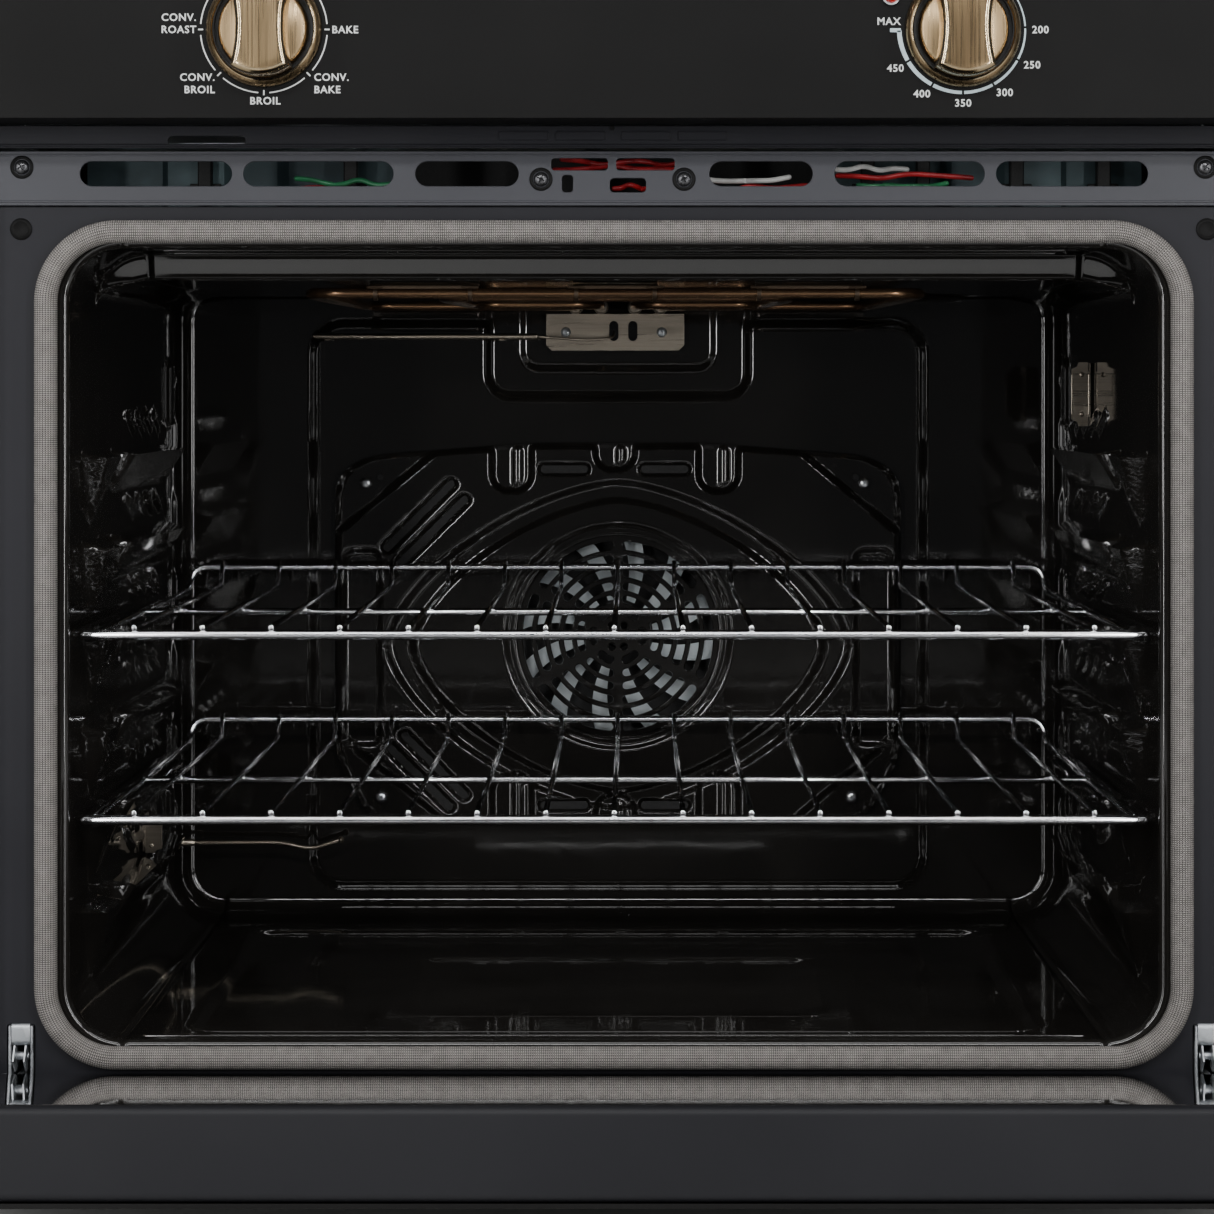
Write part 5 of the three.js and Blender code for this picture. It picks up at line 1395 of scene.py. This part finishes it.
# ---------- hinges ----------
def hinges():
    """Each hinge: a pressed receiver in its slot, a laminated arm through it and a pin with peened heads."""
    pivot = Vector(HINGE["pos_m"]) / MM
    for name, side in (("left", -1), ("right", 1)):
        x = side * HINGE_X
        lo, hi = low(f"hinge_receiver_{name}"), high(f"hinge_receiver_{name}")
        cup = Shape()
        for edge in (-1, 1):
            cup.block((x + edge * 6.2 - 0.9, lo.y, lo.z), (x + edge * 6.2 + 0.9, hi.y, hi.z), 0.4)
        for bottom, top in ((lo.z, lo.z + 9), (hi.z - 11, hi.z)):
            tab = [(lo.y + 14, bottom), (lo.y + 0.8, bottom), (lo.y + 0.8, top), (lo.y + 12, top + (3 if top > 80 else -1))]
            cup.extrude(stroke(bent(tab, 2, 4), 1.4), x - 5.2, x + 5.2, sideways)
        for z in (lo.z + 14, hi.z - 17):
            cup.lathe([(2.6, 0), (3.2, 0.3), (3.2, 1.4), (2.0, 2.2), (0, 2.3)], (x - side * 5.4, lo.y + 10, z), (-side, 0, 0), 24)
        cup.block((x - 5.4, hi.y - 1.4, lo.z), (x + 5.4, hi.y, hi.z), 0.3)
        piece(cup.object(f"hinge_receiver_{name}_cup"), "zinc", replaces=[f"hinge_receiver_{name}"])
        arm = Shape()
        lever = [(pivot.y + 8, pivot.z - 6), (FRONT + 38, pivot.z - 6), (FRONT + 38, pivot.z + 12), (FRONT + 29, pivot.z + 12),
                 (FRONT + 26, pivot.z + 5), (FRONT - 2, pivot.z + 5)]
        hook = arc((pivot.y, pivot.z), 7.8, 40, 318, 24)
        for middle in (-1.7, 0, 1.7):
            arm.extrude(lever + hook, x + middle - 0.75, x + middle + 0.75, sideways)
        latch = [(FRONT - 9, pivot.z + 14), (FRONT - 3, pivot.z + 22), (FRONT + 8, pivot.z + 20), (FRONT + 10, pivot.z + 9),
                 (FRONT - 2, pivot.z + 7)]
        arm.extrude(latch, x - 3.6, x - 2.7, sideways)
        arm.extrude(latch, x + 2.7, x + 3.6, sideways)
        pin = [(0, -9.5), (3.0, -9.4), (3.4, -8.8), (3.4, 8.8), (3.0, 9.4), (0, 9.5)]
        arm.lathe(pin, (x, pivot.y, pivot.z), (1, 0, 0), 32)
        arm.lathe([(0, -4.4), (2.2, -4.3), (2.4, -3.9), (2.4, 3.9), (2.2, 4.3), (0, 4.4)], (x, FRONT + 3, pivot.z + 15), (1, 0, 0), 24)
        piece(arm.object(f"hinge_arm_{name}_plates"), "zinc", replaces=[f"hinge_arm_{name}"])


# ---------- door, drawn closed about its pivot ----------
def door_place():
    pivot = Vector(HINGE["pos_m"]) / MM
    return Matrix.Translation(pivot) @ Matrix.Rotation(math.radians(HINGE["range_deg"][1]), 4, "X")


DOOR = {"half": high("door_outer_panel").x, "top": 538.5, "bottom": -10, "inner": 10, "outer": -30}


def door():
    place = door_place()
    half, top, outer, inner = DOOR["half"], DOOR["top"], DOOR["outer"], DOOR["inner"]
    section = [(outer + 2.4, top - 13.5), (outer + 2.4, top), (inner, top), (inner, top - 13.5)]
    trim = Shape().extrude(stroke([(u * 1.0, v) for u, v in bent([(outer + 3.3, top - 13.6), (outer + 3.3, top - 1), (inner - 1, top - 1),
                                                                  (inner - 1, top - 13.6)], 3.2, 8)], 1.9),
                           -half + 0.6, half - 0.6, sideways)
    ends = Shape()
    for side in (-1, 1):
        cheek = rounded_rectangle((outer + 3, inner - 0.4), (top - 13.6, top - 0.4), 2.6)
        a, b = sorted((side * (half - 0.2), side * (half - 2)))
        ends.extrude(cheek, a, b, sideways)
    # The top trim and its end cheeks are in the darker charcoal: painted shade.
    door_piece(trim, place, "door_top_trim_cap", "trim_charcoal", ["door_top_trim"], 25)
    door_piece(ends, place, "door_trim_ends", "trim_charcoal")
    grip = Shape().tube([(-320, outer - 42, top - 62), (320, outer - 42, top - 62)], 10, 40, "round")
    for x in (-270, 270):
        grip.lathe([(13, 0.2), (13, 2), (11, 3.4), (8.2, 4.6), (7.6, 10), (7.6, 34), (9, 40)], (x, outer, top - 62), (0, -1, 0), 48)
    door_piece(grip, place, "door_handle_bar", "antique_bronze", ["door_handle"])
    screws = Shape()
    for side in (-1, 1):
        for v in (60, 200, 340, 480):
            screws.moved(SCREW, placed((side * (half - 14), inner + 0.1, v), 3.4, facing=(0, 1, 0)))
    door_piece(screws, place, "door_glass_screws", "deep_black")
    beads = Shape()
    for side in (-1, 1):
        for v0, v1 in ((-6, -4.6),):
            beads.block((side * 60 - 250, inner - 1, v0), (side * 60 + 250, inner + 0.5, v1), 0.3)
    soften(frame["nodes"]["door_outer_panel"], 0.8, 3)
    for node in ("door_inner_glass", "door_window"):
        soften(frame["nodes"][node], 0.8, 3)
    for node in ("door_bottom_trim", "door_rail_left", "door_rail_right"):
        soften(frame["nodes"][node], 0.4)


def door_piece(shape, place, name, finish, replaces=(), smooth=35):
    turned_shape = Shape().moved(shape, place)
    return piece(turned_shape.object(name, smooth), finish, "door", replaces)


# ---------- casing and works ----------
SHEET_NODES = ("base_pan", "left_side_panel", "right_side_panel", "rear_panel", "top_cover", "control_housing",
               "blower_housing", "terminal_box")


def casing():
    for node in SHEET_NODES:
        soften(frame["nodes"][node], 0.5)
    lo, hi = low("left_side_panel"), high("right_side_panel")
    screws = Shape()
    for side in (-1, 1):
        x = side * hi.x
        for y in (FRONT + 30, 0, hi.y - 40):
            for z in (12, hi.z - 14):
                screws.moved(SCREW, placed((x, y, z), 4.0, facing=(side, 0, 0)))
    for x in (-330, -110, 110, 330):
        for z in (14, hi.z - 16):
            screws.moved(SCREW, placed((x, hi.y, z), 4.0, facing=(0, 1, 0)))
        screws.moved(SCREW, placed((x, hi.y - 18, high("top_cover").z), 4.0, facing=(0, 0, 1)))
    piece(screws.object("casing_screws"), "zinc")
    ribs = Shape()
    for side in (-1, 1):
        x = side * (hi.x - 0.1)
        for y in (-150, -20, 110):
            path = [(x, v, w) for v, w in rounded_rectangle((y - 46, y + 46), (110, 380), 18)]
            ribs.tube([*path, path[0]], 1.5, 10, "round")
    for x in (-235, 235):
        path = [(u, hi.y - 0.1, w) for u, w in rounded_rectangle((x - 70, x + 70), (110, 420), 18)]
        ribs.tube([*path, path[0]], 1.5, 10, "round")
    piece(ribs.object("casing_ribs"), "zinc")
    gland()
    motor()


def gland():
    lo, hi = low("conduit_gland"), high("conduit_gland")
    x, z = (lo.x + hi.x) / 2, (lo.z + hi.z) / 2
    face = high("rear_panel").y
    nut = Shape().lathe([(8, 0.3), (17, 0.3), (17, 3.2), (16, 4.2), (11, 4.4), (8, 4.4)], (x, face, z), (0, 1, 0), 8, closed=True)
    barrel = [(8, -7)] + [(9.6 + 0.35 * (i % 2), -7 + i * 1.0) for i in range(21)] + [(8, 13.6)]
    nut.lathe(barrel, (x, face, z), (0, 1, 0), 64, closed=True)
    piece(nut.object("conduit_gland_body"), "zinc", replaces=["conduit_gland"])


def motor():
    lo, hi = low("fan_motor"), high("fan_motor")
    can = Shape().lathe([(4.4, 0), (14, 0), (15, 2), (34, 3), (36, 5), (36, 18), (36.6, 19), (36.6, 33), (36, 34), (36, 47), (34, 50),
                         (15, 51), (14, 52), (4.4, 52)], (0, lo.y, FAN_Z), (0, 1, 0), 72, closed=True)
    can.block((lo.x, lo.y, FAN_Z - 16), (-37, lo.y + 2.5, FAN_Z + 16), 0.4)
    can.block((37, lo.y, FAN_Z - 16), (hi.x, lo.y + 2.5, FAN_Z + 16), 0.4)
    for x in (-50, 50):
        can.moved(SCREW, placed((x, lo.y + 2.6, FAN_Z), 4, facing=(0, 1, 0)))
    piece(can.object("fan_motor_can"), "zinc", replaces=["fan_motor"])


# ---------- finishes of the carried-over nodes ----------
def carried_over_finishes():
    slots = {entry["slot"] for entry in frame["record"]["materials"]}
    for name, node in frame["nodes"].items():
        slot_name = next(s for s in slots if node.data.materials[0].name.split(".")[0] == s)
        node.data.materials[0] = FINISH[slot_name]


# ---------- stage, light and camera ----------
def lamp_panel(name, at, target, size, power, mirrored=True):
    """A soft rectangular light. With mirrored off it lights surfaces but is not seen in glossy ones."""
    light = bpy.data.lights.new(name, "AREA")
    light.shape, light.size, light.size_y = "RECTANGLE", *size
    light.energy = power
    holder = linked(name, light)
    holder.location = at
    holder.rotation_euler = (Vector(target) - Vector(at)).to_track_quat("-Z", "Y").to_euler()
    holder.visible_glossy = mirrored


def studio():
    ground = Shape().block((-4000, -4000, -20), (4000, 4000, 0), 1).object("studio_floor")
    ground.data.materials.append(FINISH["studio_floor"])
    middle = (0, -0.2, 0.35)
    for name, side in (("left_softbox", -1), ("right_softbox", 1)):
        lamp_panel(name, (side * 1.9, -1.7, 1.1), middle, (0.22, 1.7), 14)
    for name, side in (("left_strip", -1), ("right_strip", 1)):
        lamp_panel(name, (side * 0.98, -2.1, 0.6), middle, (0.1, 1.5), 13)
    lamp_panel("upper_strip", (0, -2.1, 1.4), middle, (1.7, 0.1), 14)
    lamp_panel("top_softbox", (0, -1.5, 2.3), middle, (2.4, 0.45), 16)
    lamp_panel("front_fill", (0, -2.6, 0.75), middle, (0.6, 0.4), 5, mirrored=False)
    lamp_panel("rear_fill", (0, 3.0, 2.2), middle, (2.5, 1.5), 60)
    world = bpy.data.worlds.new("studio")
    bpy.context.scene.world = world
    world.use_nodes = True
    world.node_tree.nodes["Background"].inputs["Color"].default_value = (0.82, 0.85, 0.9, 1)
    world.node_tree.nodes["Background"].inputs["Strength"].default_value = 0.07


def camera():
    lens = bpy.data.cameras.new("camera")
    lens.sensor_width, lens.lens = 36, 96.8
    lens.shift_x, lens.shift_y = -0.0222, -0.1746
    holder = linked("camera", lens)
    holder.location = (0.0113, -2.138, 0.452)
    holder.rotation_euler = (math.pi / 2, 0, 0)
    bpy.context.scene.camera = holder


camera()
carried_over_finishes()
cavity()
fan_baffle()
for rack_node in RACK_NODES:
    rack(rack_node)
broil()
sensors()
lamp()
door_gasket()
front_frame()
ventilation()
fascia()
mounting_trims()
hinges()
door()
casing()
studio()
